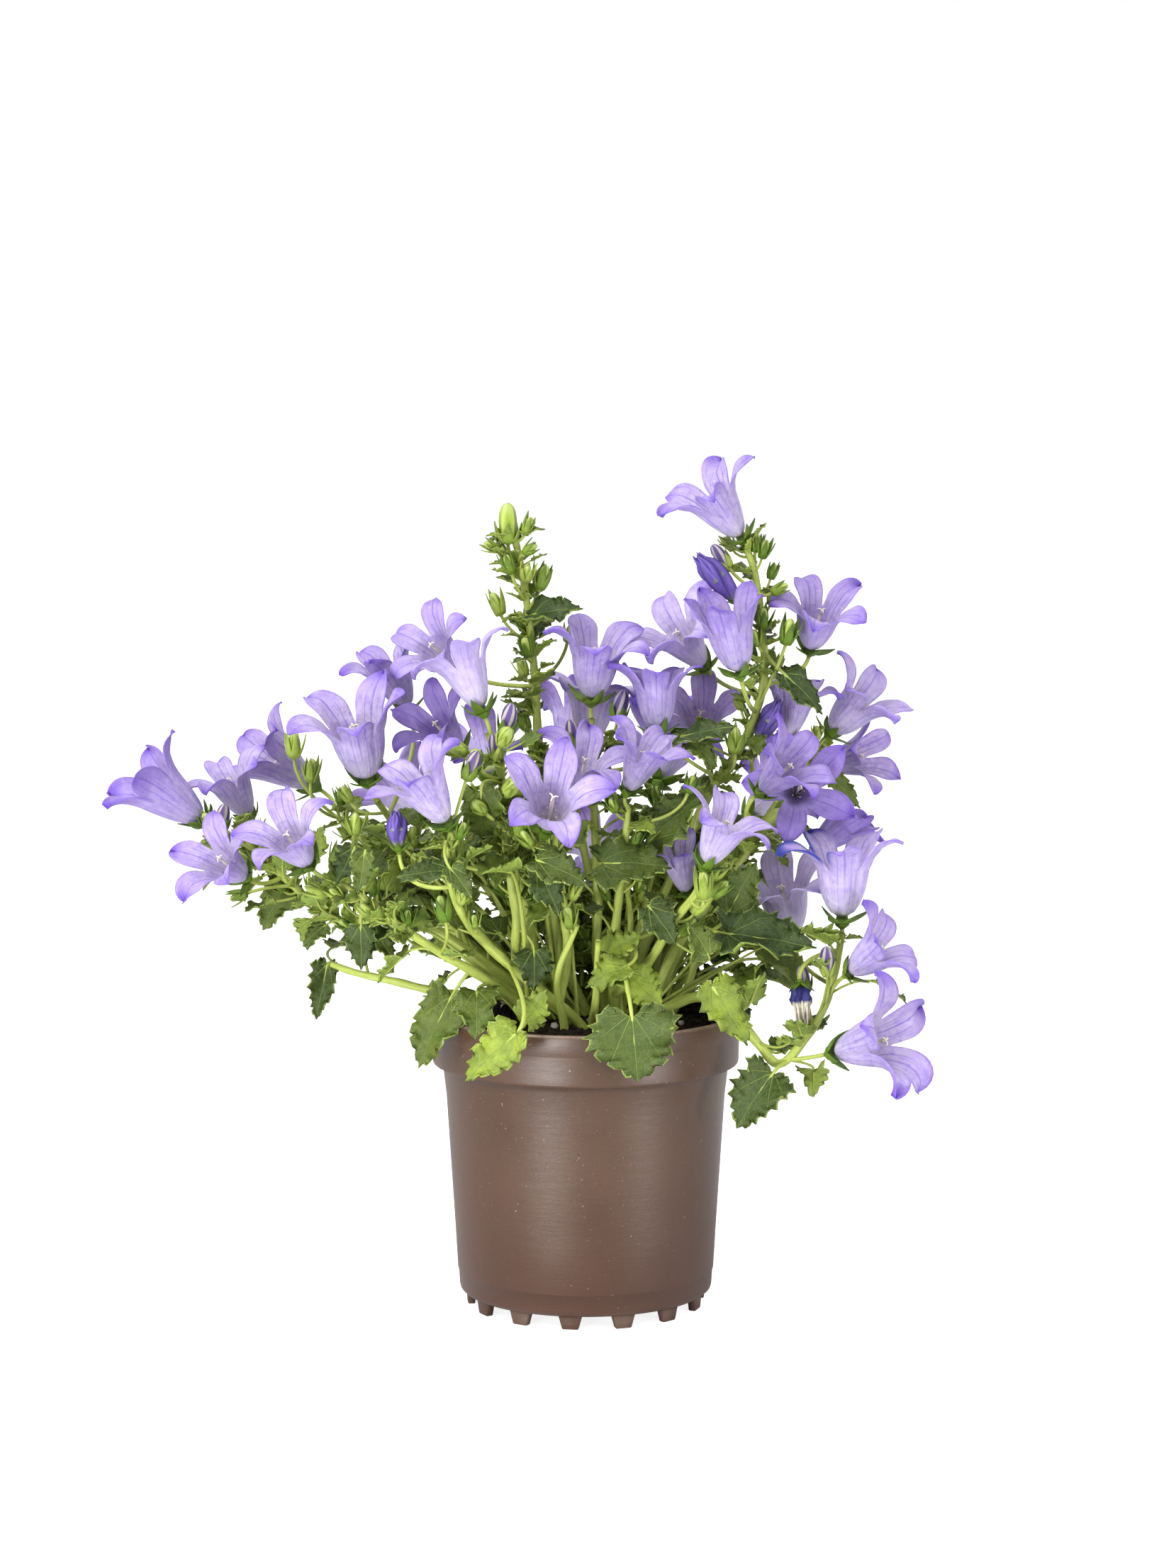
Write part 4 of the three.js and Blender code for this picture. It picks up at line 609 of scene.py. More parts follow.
def add_calyx(body, base, axes, s, slot, tone, rng):
    profile = [(-3.3 * s, 0.75), (-2.9 * s, 1.1 * s), (-2.2 * s, 1.9 * s), (-1.2 * s, 2.3 * s),
               (-0.5 * s, 2.1 * s), (0.1, 1.5 * s), (0.35, 0.6 * s)]
    add_turned(body, base, axes, profile, slot, 15, tone, 0.07)
    for k in range(LOBES):
        spread = math.radians(rng.uniform(26, 72))
        reach = rng.uniform(6.0, 8.2) * s
        height, radius = -1.5 * s + reach * math.cos(spread), 1.9 * s + reach * math.sin(spread)
        add_sepal(body, base, axes, 36 + 72 * k + rng.uniform(-6, 6), (-1.5 * s, 1.9 * s),
                  (height, max(radius, 5.6 * s)), 3.7 * s, slot, tone,
                  rng.uniform(0.1, 0.7) * s)


def add_bud(stem, base, axes, size, tone, rng, sides, rows, columns, stripes=False, plump=False):
    """A bud in its five upright sepals, which cover a young one almost to its tip."""
    body = bodies[stem.node]
    is_young = not stripes and size <= 1.4 and not plump
    thin, short = (1.05, 0.74) if plump else (0.72, 0.84) if is_young else (0.86, 1.0)
    profile = BUD_SHAPE * size
    profile[2:, 0] *= short
    profile[3:, 1] *= thin
    add_turned(body, base, axes, profile, BUD_STRIPED if stripes else BUD_GREEN, sides, tone,
               *((0.12, 0.7) if stripes else (0.08, 0.1)))
    for k in range(LOBES):
        reach = rng.uniform(0.86, 1.2) if is_young else 0.6 * rng.uniform(0.85, 1.15)
        lean = rng.uniform(1.7, 3.9) if is_young else rng.uniform(2.1, 2.9)
        add_sepal(body, base, axes, 36 + 72 * k + rng.uniform(-7, 7), (-1.1 * size, 1.35 * size),
                  (5.8 * size * reach, lean * size), 2.5 * size, SEPAL, tone, 0.3 * size, rows,
                  columns)


# Materials ------------------------------------------------------------------------------
def colour(values):
    """Linear colour from three values between 0 and 255."""
    return tuple(c / 12.92 if c <= 0.04045 else ((c + 0.055) / 1.055) ** 2.4
                 for c in (value / 255 for value in values)) + (1.0,)


def put(socket, value):
    """Sets or links a socket. Three numbers are a colour between 0 and 255."""
    if isinstance(value, Value):
        socket.id_data.links.new(value.socket, socket)
    elif isinstance(value, tuple) and len(value) == 3:
        socket.default_value = colour(value)
    else:
        socket.default_value = value


def add_node(tree, kind, inputs=(), out=0, **settings):
    node = tree.nodes.new("ShaderNode" + kind)
    for key, value in settings.items():
        setattr(node, key, value)
    for key, value in dict(inputs).items():
        put(node.inputs[key], value)
    return Value(node.outputs[out])


class Value:
    """What a shader node gives. Sums, products and the calls below add further nodes."""

    def __init__(self, socket):
        self.socket = socket

    def node(self, kind, *inputs, **settings):
        return add_node(self.socket.id_data, kind, enumerate((self, *inputs)), **settings)

    def math(self, operation, *others):
        return self.node("Math", *others, operation=operation)

    def __add__(self, other):
        return self.math("ADD", other)

    def __mul__(self, other):
        return self.math("MULTIPLY", other)

    def __abs__(self):
        return self.math("ABSOLUTE")

    def over(self, other):
        return self.math("MAXIMUM", other)

    def fold(self):
        """Five folds round a turned form."""
        return abs((self * 2.5).math("SINE"))

    def split(self):
        node = self.node("SeparateXYZ").socket.node
        return [Value(output) for output in node.outputs] + [self]

    def joined(self, *others):
        return self.node("CombineXYZ", *others)

    def noise(self, scale, detail=3.0, roughness=0.55):
        return add_node(self.socket.id_data, "TexNoise", {
            "Vector": self, "Scale": scale, "Detail": detail, "Roughness": roughness})

    def cells(self, scale, feature="DISTANCE_TO_EDGE"):
        return add_node(self.socket.id_data, "TexVoronoi", {"Vector": self, "Scale": scale},
                        feature=feature)

    def between(self, low, high, start=0.0, end=1.0):
        """start at low, end at high, smooth in between and level beyond."""
        return self.node("MapRange", low, high, start, end, interpolation_type="SMOOTHSTEP")

    def mix(self, first, second):
        """A colour from first to second, by this share."""
        return add_node(self.socket.id_data, "Mix", {0: self, 6: first, 7: second}, 2,
                        data_type="RGBA")


def layered(tint, *layers):
    for share, top in layers:
        tint = share.mix(tint, top)
    return tint


class Skin:
    """A material of one Principled surface."""

    def __init__(self, name, **constants):
        self.material = bpy.data.materials.new(name)
        self.material.use_nodes = True
        self.tree = self.material.node_tree
        self.inputs = self.tree.nodes["Principled BSDF"].inputs
        for key, value in constants.items():
            self.inputs[key.replace("_", " ")].default_value = value

    def parts(self, key):
        """The three numbers that an attribute holds, and the whole vector."""
        return add_node(self.tree, "Attribute", out="Vector", attribute_name=key).split()

    def place(self):
        """The point in millimetres."""
        point = add_node(self.tree, "TexCoord", out="Object")
        return add_node(self.tree, "VectorMath", {0: point, "Scale": 1 / MM},
                        operation="SCALE")

    def done(self, tint, roughness, height=None, depth=0.1):
        """depth is the height of the bump in millimetres."""
        put(self.inputs["Base Color"], tint)
        put(self.inputs["Roughness"], roughness)
        if height is not None:
            put(self.inputs["Normal"], add_node(self.tree, "Bump", {
                "Distance": depth * MM, "Strength": 1.0, "Height": height}))
        return self.material


def leaf_material(name, is_top):
    m = Skin(name, Subsurface_Weight=0.12, Subsurface_Scale=0.0012,
             Specular_IOR_Level=0.26 if is_top else 0.18)
    along, across, tone, _ = m.parts("form")
    edge, leaf_seed, _, _ = m.parts("look")
    side = abs(across)
    reach = (side * side + along * along).math("SQRT")
    angle = side.math("ARCTAN2", along + 1.5)
    spoke = angle.math("DIVIDE", 0.5).math("PINGPONG", 0.5) * 0.5
    main = (spoke * reach).between(0.04, 0.26, 1, 0) * edge.between(0.4, 0.95, 1, 0.1)
    shifted = along.joined(across, leaf_seed)
    warp = shifted.noise(0.5, 2)
    small = (along + warp).joined(side, leaf_seed).cells(0.42).between(0.0, 0.2, 1, 0)
    veins = main.over(small * 0.14)
    grain = shifted.noise(2.2, 2)
    if is_top:
        young, old, patch, vein = (152, 170, 56), (45, 61, 26), (56, 76, 34), (138, 160, 84)
    else:
        young, old, patch, vein = (160, 180, 80), (118, 140, 60), (120, 142, 64), (172, 190, 96)
    dots = shifted.noise(3.0, 1) + edge.between(0.85, 0.97, 0, 0.09)
    tint = layered(tone.mix(old, young),
                   (shifted.noise(0.16).between(0.35, 0.7, 0, 0.5), patch),
                   (grain.between(0.3, 0.75, 0.0, 0.25), (38, 54, 12)),
                   (veins * 0.44, vein),
                   (edge.between(0.94, 1.0, 0, 0.5), (150, 172, 72)),
                   (dots.between(0.74, 0.78, 0, 0.8), (196, 204, 176)))
    height = veins * (-0.8 if is_top else 0.9) + grain * 0.4 + warp * 1.8
    return m.done(tint, grain.between(0.3, 0.8, 0.4, 0.6), height, 0.32)


def stem_material():
    m = Skin("green_stem", Subsurface_Weight=0.1, Subsurface_Scale=0.001, Specular_IOR_Level=0.35)
    along, angle, tone, _ = m.parts("form")
    streak = (along * 0.12).joined(angle * 1.3, tone).noise(2)
    fine = m.place().noise(1.6, 2)
    tint = layered(streak.mix((132, 153, 46), (203, 213, 116)),
                   (fine.between(0.55, 0.8, 0, 0.4), (116, 120, 58)))
    return m.done(tint, 0.42, streak + fine * 0.4, 0.18)


def sepal_material():
    m = Skin("green_sepal", Subsurface_Weight=0.12, Subsurface_Scale=0.001, Specular_IOR_Level=0.3)
    share, across, tone, _ = m.parts("form")
    fine = m.place().noise(1.4)
    rib = abs((across * 5).math("SINE")).between(0.0, 0.3, 1, 0)
    youth = tone.between(0.35, 1.0)
    tip = share.between(0.35, 1.0, 0, 0.6) * youth.between(0.0, 1.0, 1, 0.4)
    tint = layered(youth.mix(fine.mix((66, 98, 20), (114, 146, 44)),
                             fine.mix((132, 157, 50), (194, 207, 106))),
                   (tip, (52, 74, 26)), (rib * 0.25, (166, 188, 92)))
    return m.done(tint, 0.55, fine + rib * 0.5, 0.12)


def bud_material(name, is_striped):
    m = Skin(name, Subsurface_Weight=0.2, Subsurface_Scale=0.0012, Specular_IOR_Level=0.3)
    share, angle, _, _ = m.parts("form")
    fold, mottle = angle.fold(), m.place().noise(1.1)
    if is_striped:
        tint = layered(fold.between(0.45, 0.75).mix((184, 176, 174), (94, 74, 136)),
                       (share.between(0.05, 0.4, 1, 0), (168, 182, 104)))
    else:
        tint = layered(fold.mix((180, 198, 96), (134, 160, 50)),
                       (share.between(0.6, 1.0, 0, 0.5), (192, 204, 130)))
    tint = layered(tint, (mottle.between(0.5, 0.75, 0, 0.3), (118, 130, 60)))
    return m.done(tint, 0.5, fold + mottle * 0.3, 0.15)


def petal_material(name, *stops):
    m = Skin(name, Subsurface_Weight=0.26, Subsurface_Scale=0.0014, Specular_IOR_Level=0.2,
             Sheen_Weight=0.1, Sheen_Roughness=0.4, Subsurface_Radius=(1.0, 0.75, 1.4))
    share, side, tone, _ = m.parts("form")
    lanes, number, bruise, _ = m.parts("look")
    point = m.place()
    veins = (lanes * 1.7).joined(share * 4.0, number).noise(1.0, 3, 0.6)
    cloud, mottle, crinkle = point.noise(0.16, 2), point.noise(0.45), point.noise(1.5)
    ramp = share.node("ValToRGB")
    bands = ramp.socket.node.color_ramp.elements
    while len(bands) < len(stops):
        bands.new(0.5)
    for band, (position, *tint) in zip(bands, stops):
        band.position, band.color = position, colour(tint)
    beside = abs(side.math("SUBTRACT", 0.45))
    lines = (side.between(0.0, 0.09, 1, 0) * share.between(0.2, 0.6, 0, 0.65)).over(
        beside.between(0.0, 0.07, 0.4, 0) * share.between(0.85, 0.6))
    margin = side.between(0.8, 1.0, 0, 0.5) * share.between(0.5, 0.62)
    hurt = bruise * side.between(0.55, 0.95).over(share.between(0.85, 0.97))
    tint = layered(ramp,
                   (veins.between(0.45, 0.72, 0, 0.45), (112, 82, 190)),
                   (cloud.between(0.45, 0.75, 0, 0.35), (214, 203, 240)),
                   (mottle.between(0.48, 0.72, 0, 0.35), (124, 96, 196)),
                   (lines, (100, 74, 174)),
                   (margin * cloud.between(0.35, 0.6), (112, 84, 192)),
                   (point.noise(2.6, 1).between(0.75, 0.78, 0, 0.6), (236, 232, 246)),
                   (tone.between(0.0, 1.0, 0, 0.6), (110, 84, 172)),
                   (tone.between(-1.0, 0.0, 0.5, 0), (222, 212, 244)),
                   (hurt * share.between(0.5, 0.66), (52, 62, 150)))
    return m.done(tint, crinkle.between(0.3, 0.7, 0.42, 0.58),
                  veins * 0.6 + crinkle * 0.4 + mottle * 1.6, 0.3)


def closed_material(name, dark, light, wrinkles, foot):
    m = Skin(name, Subsurface_Weight=0.15, Subsurface_Scale=0.001, Specular_IOR_Level=0.3)
    share, angle, tone, _ = m.parts("form")
    fold = angle.fold()
    lines = (angle * 4).joined(share, tone).noise(1.6)
    tint = layered(fold.mix(dark, light), (lines.between(0.4, 0.75, 0, 0.5), light),
                   (share.between(0.0, 0.22, foot, 0), (176, 188, 128)))
    if not foot:
        pale = share.between(0.42, 0.56) * lines.between(0.3, 0.5, 0.6, 1)
        tint = layered(tint, (pale, (214, 208, 186)))
    return m.done(tint, 0.48, fold + lines * wrinkles, 0.25)


def style_material():
    m = Skin("cream_style", Subsurface_Weight=0.2, Subsurface_Scale=0.001)
    point = m.place()
    fuzz = point.noise(4.5)
    tint = layered(fuzz.mix((206, 196, 170), (240, 236, 220)),
                   (point.noise(0.5).between(0.5, 0.7, 0, 0.25), (170, 158, 214)))
    return m.done(tint, 0.7, fuzz, 0.25)


def pot_material():
    m = Skin("pot_plastic", Specular_IOR_Level=0.6)
    x, y, z, point = m.place().split()
    cloud, speck = point.noise(0.035), point.noise(1.6)
    flow = (x * 0.25).joined(y * 0.25, z * 1.4).noise(0.5, 2)
    # Painted shade under the rim ledge: a darker band on its underside and on the flare just below
    under_rim_shade = z.between(80.4, 83.2) * z.between(83.2, 83.7, 1, 0)
    # Painted highlight: the top edge of the rim is lightened, broken up by speckle noise
    rim_top_highlight = z.between(99.6, 100.9, 0, 0.5) * speck.between(0.35, 0.6, 0.4, 1)
    tint = layered(cloud.mix((64, 41, 25), (81, 56, 38)),
                   (point.noise(1.1, 2).between(0.725, 0.75, 0, 0.7), (176, 156, 138)),
                   (point.noise(1.3, 1).between(0.27, 0.25, 0, 0.7), (34, 24, 19)),
                   (flow.between(0.55, 0.75, 0, 0.15), (74, 55, 44)),
                   # painted highlight along the rim's top edge
                   (rim_top_highlight, (170, 148, 130)),
                   # Painted shade: the wall darkens and reddens towards the bottom
                   (z.between(8.0, 66.0, 0.6, 0), (64, 34, 23)),
                   # Painted highlight on the bottom edge and the feet, in patches
                   (z.between(4.0, 7.0, 0.3, 0) * cloud.between(0.35, 0.65), (126, 108, 94)),
                   # painted shade under the rim ledge
                   (under_rim_shade * 0.55, (60, 46, 38)))
    return m.done(tint, (speck * 0.4 + cloud * 0.6).between(0.3, 0.7, 0.3, 0.4),
                  point.noise(5.0, 2) * 0.4 + flow * 0.5, 0.09)


def soil_material():
    m = Skin("peat", Specular_IOR_Level=0.25)
    point = m.place()
    crumb, fine = point.cells(0.55, "F1"), point.noise(2.6, 4, 0.7)
    tint = layered(crumb.mix((24, 18, 15), (64, 50, 40)),
                   (fine.between(0.55, 0.75, 0, 0.6), (92, 74, 58)))
    return m.done(tint, fine.between(0.3, 0.7, 0.75, 0.95), fine + crumb, 0.9)


def perlite_material():
    m = Skin("perlite", Subsurface_Weight=0.1, Subsurface_Scale=0.001)
    pits = m.place().noise(2.4, 4, 0.7)
    return m.done(pits.mix((176, 168, 158), (238, 236, 230)), 0.85, pits, 0.4)


def floor_material():
    m = Skin("pale_floor", Specular_IOR_Level=0.2, Emission_Color=(1, 1, 1, 1))
    ray = add_node(m.tree, "LightPath", out="Is Camera Ray")
    put(m.inputs["Emission Strength"], ray.between(0, 1, 0.05, 0.85))
    faint = m.place().noise(0.004)
    return m.done(faint.mix((0.5, 0.5, 0.5, 1), (0.53, 0.53, 0.53, 1)), 0.75)


TOP, UNDER, STEM, SEPAL, BUD_GREEN, BUD_STRIPED = range(6)
GREEN = [leaf_material("leaf_top", True), leaf_material("leaf_under", False), stem_material(),
         sepal_material(), bud_material("bud_green", False), bud_material("bud_striped", True)]
OUTSIDE, INSIDE, STYLE = range(3)
# Stops of the petals' colours, from the foot of the bell to the tips of its lobes
PETALS = [
    petal_material("petal_outside", *table("""0 196 198 160; .1 190 183 203; .3 178 168 201;
        .6 168 154 199; .82 153 135 195; 1 99 69 178""")),
    petal_material("petal_inside", *table("""0 224 223 198; .2 207 201 210; .42 193 185 205;
        .6 183 171 200; .82 168 152 196; 1 105 75 180""")),
    style_material()]
CLOSED_SKINS = {
    "bud": closed_material("closed_petals", (46, 32, 102), (116, 96, 178), 0.8, 0.75),
    "spent": closed_material("withered_petals", (30, 32, 84), (52, 54, 122), 1.6, 0.0)}


# The plant's layout, by the same rules as the solids --------------------------------------
stems = {}
for name, at, seat, leaf_count, *route in STEMS:
    if isinstance(at, str):
        node, root, start = stems[at].node, None, [stems[at].samples[int(seat)]]
    else:
        node, root = NODE_NAMES.get(name, "stem_" + name), (at, seat)
        start = [vec(*root, SOIL_CROWN - STEM_DEPTH), vec(*root, SOIL_CROWN + 1)]
    points, steps = np.vstack([start, np.reshape(route, (-1, 3))]), len(route) // 3 + 2
    stems[name] = Row(node=node, root=root, leaves=int(leaf_count), points=points, steps=steps,
                      samples=resampled(evenly(points, steps),
                                        np.linspace(0, steps, ATTACH_SAMPLES + 1)))


def surface_of(nodes):
    """A tree of the corners of solids, and their surface."""
    points, faces = [], []
    for node in nodes:
        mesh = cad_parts[node].data
        own = np.empty(len(mesh.vertices) * 3)
        mesh.vertices.foreach_get("co", own)
        faces += [[i + len(points) for i in face.vertices] for face in mesh.polygons]
        points += ((own.reshape(-1, 3) - OFFSET) / MM).tolist()
    tree = KDTree(len(points))
    for i, point in enumerate(points):
        tree.insert(point, i)
    tree.balance()
    return tree, BVHTree.FromPolygons(points, faces)


def found(node, base, away):
    """base, shifted in depth as the solid has it, which has a corner away from it."""
    tree = (SURFACES.get(node) or surface_of([node]))[0]
    for shift in SHIFTS:
        start = vec(*base) + vec(0, shift, 0)
        if tree.find(start + away)[2] < FOUND_WITHIN:
            return start
    return None


def nearest_on(stem, point, first):
    distances = np.linalg.norm(stem.samples[first:] - point, axis=1)
    return stem.samples[first + int(distances.argmin())]


def true_stalk(stem, seat, arrival, options):
    """The stalk among the options, each a root and a lift, that its node has."""
    best, least = None, 1e9
    for root, lift in options:
        curve = stalk_curve(root, seat, arrival, lift, 21)
        corners = curve[[0, 20]] if spans(curve).sum() < 14 else curve[[0, 10, 20]]
        line = resampled(corners, np.linspace(0.15, 0.85, 8) * (len(corners) - 1))
        worst = max(SURFACES[stem.node][1].find_nearest(Vector(p))[3] for p in line)
        if worst < least - 1e-3:
            best, least = curve[::2], worst
    return best


def add_pedicel(stem, seat, along, thick, thin, sides):
    behind = seat - 12 * along
    options = [(nearest_on(stem, behind + UP * drop, 6), lift) for drop in DROPS for lift in LIFTS]
    stalk = true_stalk(stem, seat, along, options + [(nearest_on(stem, seat, 6), 0)])
    add_tube(bodies[stem.node], stalk, np.linspace(thick, thin, len(stalk)), STEM, sides,
             rng.uniform(0, 1))


bodies = {node: Body() for node in sorted({stem.node for stem in stems.values()})}
SURFACES = {node: surface_of([node]) for node in bodies}

for stem in stems.values():
    line = evenly(stem.points, 8 * stem.steps)
    radii = np.linspace(STEM_RADIUS if stem.root else BRANCH_RADIUS, TIP_RADIUS, len(line))
    radii *= 1 + 0.06 * np.sin(np.arange(len(line)) * 0.9)
    if stem.root:
        radii[:4] *= 0.94
    add_tube(bodies[stem.node], line, radii, STEM, 12, rng.uniform(0, 1), ribs=0.06)

CLOSED_SIZE = 0.6   # size of a closed bud's calyx, when that of a bloom is 1
blooms, closed = [], []
for i, (stem, *row) in enumerate(BLOOMS, 1):
    base, direction, (size, flare, turn, *tone) = row[:3], row[3:6], row[6:]
    node, axes = f"bloom_{i:02d}", turned(axes_along(direction), turn)
    blooms.append(Row(node=node, stem=stems[stem], base=found(node, base, axes[0] * BELL_SEAT),
                      axes=axes, size=size, flare=flare, index=i,
                      tone=tone[0] if tone else 0.35 * math.sin(5.3 * (i - 1)),
                      bulge=1.1 if i in BULGY else rng.uniform(0, 0.8), bruise=i == BRUISED))
for node, stem, *ends, radius, skin in CLOSED:
    span = vec(*ends[3:]) - ends[:3]
    axes = axes_along(span)
    closed.append(Row(node=node, stem=stems[stem], axes=axes, size=CLOSED_SIZE, skin=skin,
                      radius=radius, length=np.linalg.norm(span),
                      base=found(node, ends[:3], axes[0] * BELL_SEAT)))

for head in blooms + closed:
    add_pedicel(head.stem, head.base - head.axes[0] * 3.2 * head.size, head.axes[0], 0.8, 0.72, 7)
    add_calyx(bodies[head.stem.node], head.base, head.axes, head.size, SEPAL,
              rng.uniform(0, 0.6), rng)

for i, (stem, *base, right, up, size) in enumerate(row[:7] for row in BUDS):
    stem, axes = stems[stem], turned(axes_along(vec(right, -0.15, up)), 20 * i)
    start = found(stem.node, base, axes[0] * 6.4 * size)
    if start is not None:
        add_pedicel(stem, start - axes[0] * 1.4 * size, axes[0], 0.62, 0.6, 6)
        add_bud(stem, start, axes, size, rng.uniform(0.3, 0.9), rng, 20, 6, 5,
                stripes="striped" in BUDS[i])

for i, (stem, *row) in enumerate(LEAVES):
    stem, ends, (width, *youth) = stems[stem], np.reshape(row[:6], (2, 3)), row[6:]
    bend = 0.1 + 0.05 * math.sin(3 * i), 0.16 + 0.08 * math.sin(5 * i), i
    blade = make_blade(*ends, TOWARD_VIEWER, width, *bend)
    start = found(stem.node, ends[0], ends[1] - ends[0]
                  + blade.axes[2] * (HALF_BLADE - blade.curl * blade.length))
    if start is not None:
        ends += start - ends[0]
        ends = ends[::-1] if i == HANGING_LEAF else ends
        blade = make_blade(*ends, TOWARD_VIEWER, width, *bend)
        behind = blade.base - 10 * blade.axes[0]
        options = [(nearest_on(stem, behind + UP * drop, 8), 0) for drop in LEAF_DROPS]
        stalk = true_stalk(stem, blade.base, blade.axes[0], options)
        add_leaf(stem, blade, stalk, youth[0] if youth else 0.14 + 0.14 * math.sin(2.7 * i), rng)

seed = 20411


def draw():
    global seed
    seed = (seed * 1664525 + 1013904223) % 2**32
    return seed / 2**31 - 1


def spot_on(stem, sample):
    """A stem's point, and its axes there."""
    along = stem.samples[sample + 1] - stem.samples[sample - 1]
    return stem.samples[sample], axes_along(along)


def spot_at(stem, share):
    return spot_on(stem, int(np.clip(share * ATTACH_SAMPLES, 4, ATTACH_SAMPLES - 1)))


def sprout(root, axes, turn, reach, rise, droop, length):
    """Base, tip and face of a leaf that grows out of a stem."""
    out = radial(axes, turn)
    base = root + reach * (axes[0] * math.cos(rise) + out * math.sin(rise))
    return base, base + unit(out + UP * (0.6 - droop)) * length, UP + 0.4 * out


for stem in stems.values():
    for k in range(stem.leaves):
        share = 0.25 + 0.67 * (k + 0.5) / stem.leaves + 0.03 * draw()
        turn = GOLDEN_ANGLE * k + 25 * draw()
        length = (18 - 9 * share) * (1 + 0.15 * draw())
        reach = (15 - 11 * share) * (1 + 0.2 * draw())
        rise = math.radians(50 + 12 * draw())
        droop = 0.5 + 0.25 * draw()
        curl = 0.2 + 0.1 * draw()
        root, axes = spot_on(stem, int(math.floor(share * ATTACH_SAMPLES + 0.5)))
        for extra in TURNS:
            blade = make_blade(*sprout(root, axes, turn + extra, reach, rise, droop, length),
                               length * 0.85, 0.14, curl, 3 * k)
            corner = blade.tip + blade.axes[2] * (HALF_BLADE - curl * blade.length)
            if SURFACES[stem.node][0].find(corner)[2] < FOUND_WITHIN:
                add_leaf(stem, blade, stalk_curve(root, blade.base, blade.axes[0]),
                         0.1 + 0.45 * share, rng)
                break

# Small leaves between the others, where there is room --------------------------------------
EVERYTHING = surface_of(sorted(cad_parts))[1]
CAMERA_FROM = vec(0.8, -1171, 307)
SHOOT_ROOT = 91   # height from which shoots rise in the soil
BLADE_TESTS = np.array([0.1, 0.5, 0.9, 0.35, 0.35]), np.array([0, 0, 0, 0.9, -0.9])


def seen_at(point):
    """Where the photo's camera sees a point, in millimetres across the plant's middle."""
    ray = point - CAMERA_FROM
    return ray[[0, 2]] * (-CAMERA_FROM[1] / ray[1])


SEEN = [(seen_at(b.base + b.axes[0] * 17 * b.size), 12.5 * b.size, b.base[1]) for b in blooms]
SEEN += [(seen_at(b.base + b.axes[0] * 7), 7, b.base[1]) for b in closed]
taken = np.zeros((0, 3))


def take(points):
    global taken
    taken = np.vstack([taken, points])


def is_in_bell(point, bloom):
    away = point - bloom.base
    height = away.dot(bloom.axes[0])
    return (0 < height < 30 * bloom.size and np.linalg.norm(away - bloom.axes[0] * height)
            < (5 + 0.2 * height) * bloom.size)


def is_free(points, own_gap, gap, is_blade=True):
    """Whether points lie clear of the solids, the leaves put in so far, the insides of the
    bells and the places where the photo shows a bloom in front or a gap."""
    for point in points:
        right, up = spot = seen_at(point)
        if (point[2] < 103 and math.hypot(*point[:2]) < 55
                or len(taken) and np.linalg.norm(taken - point, axis=1).min() < own_gap
                or EVERYTHING.find_nearest(Vector(point))[3] < gap
                or is_blade and point[1] < 8 and -56 < right < 50 and up < -160
                or is_blade and right < -58 and up < -185
                or any(depth > point[1] - 4 and np.linalg.norm(spot - centre) < radius
                       for centre, radius, depth in SEEN)
                or any(is_in_bell(point, bloom) for bloom in blooms)):
            return False
    return True


def try_leaf(stem, root, ends, width, bend, youth, own_gap, gap, stalk_from=None):
    blade = make_blade(*ends, width, *bend)
    tests = blade_point(blade, *BLADE_TESTS)
    stalk = stalk_curve(root, blade.base, blade.axes[0])
    if not is_free(tests, own_gap, gap) or (
            stalk_from is not None and not is_free(stalk[stalk_from:-1], 1.2, 0.9, False)):
        return False
    take(tests)
    add_leaf(stem, blade, stalk, youth, rng)
    return True


def any_bend():
    return rng.uniform(0.05, 0.22), rng.uniform(0.05, 0.35), rng.uniform(0, 6)


rooted = [stem for stem in stems.values() if stem.root]
growing = list(stems.values())
for k in range(SHOOT_TRIES):
    out = radial(AROUND, GOLDEN_ANGLE * k + rng.uniform(-20, 20))
    root = out * rng.uniform(8, 30) + UP * SHOOT_ROOT
    gap, near = min(((np.linalg.norm(vec(*stem.root, SHOOT_ROOT) - root), stem)
                     for stem in rooted), key=lambda found: found[0])
    reach, high = rng.uniform(22, 62), rng.uniform(36, 84)
    tip = out * reach + UP * (98 + high) + vec(*rng.normal(0, 5, 3))
    middle = root + out * (reach - 15) * rng.uniform(0.1, 0.5) + UP * high * rng.uniform(0.45, 0.7)
    line = evenly([root, root + UP * 8, middle, tip], 24)
    above = line[line[:, 2] > 103.5]
    if is_free(above, 2.6, 1.9, False) and gap >= 4.2:
        take(above)
        add_tube(bodies[near.node], line, np.linspace(1.6, 0.9, len(line)), STEM, 10,
                 rng.uniform(0, 1), ribs=0.06)
        growing.append(Row(node=near.node, samples=resampled(
            line, np.linspace(0, len(line) - 1, ATTACH_SAMPLES + 1))))

for k in range(GROUND_TRIES):
    stem, around = rooted[k % len(rooted)], rng.uniform(0, 2 * math.pi)
    root = vec(*stem.root, 98.5) + 3.6 * vec(math.cos(around), math.sin(around), 0)
    turn = math.atan2(root[1], root[0]) + rng.normal(0, 0.7)
    out = vec(math.cos(turn), math.sin(turn), 0)
    reach, high = rng.uniform(14, 66), rng.uniform(6, 62)
    base = reach * out + UP * (100 + high)
    length = rng.uniform(11, 22)
    lean = unit(out + UP * rng.uniform(-0.5, 0.35) + vec(*rng.normal(0, 0.3, 3)))
    face = UP * 0.9 + 0.7 * out + vec(*rng.normal(0, 0.25, 3))
    try_leaf(stem, root, (base, base + lean * length, face), length * rng.uniform(0.75, 1.0),
             any_bend(), rng.uniform(0.0, 0.5), 3.4, 1.0, stalk_from=2)

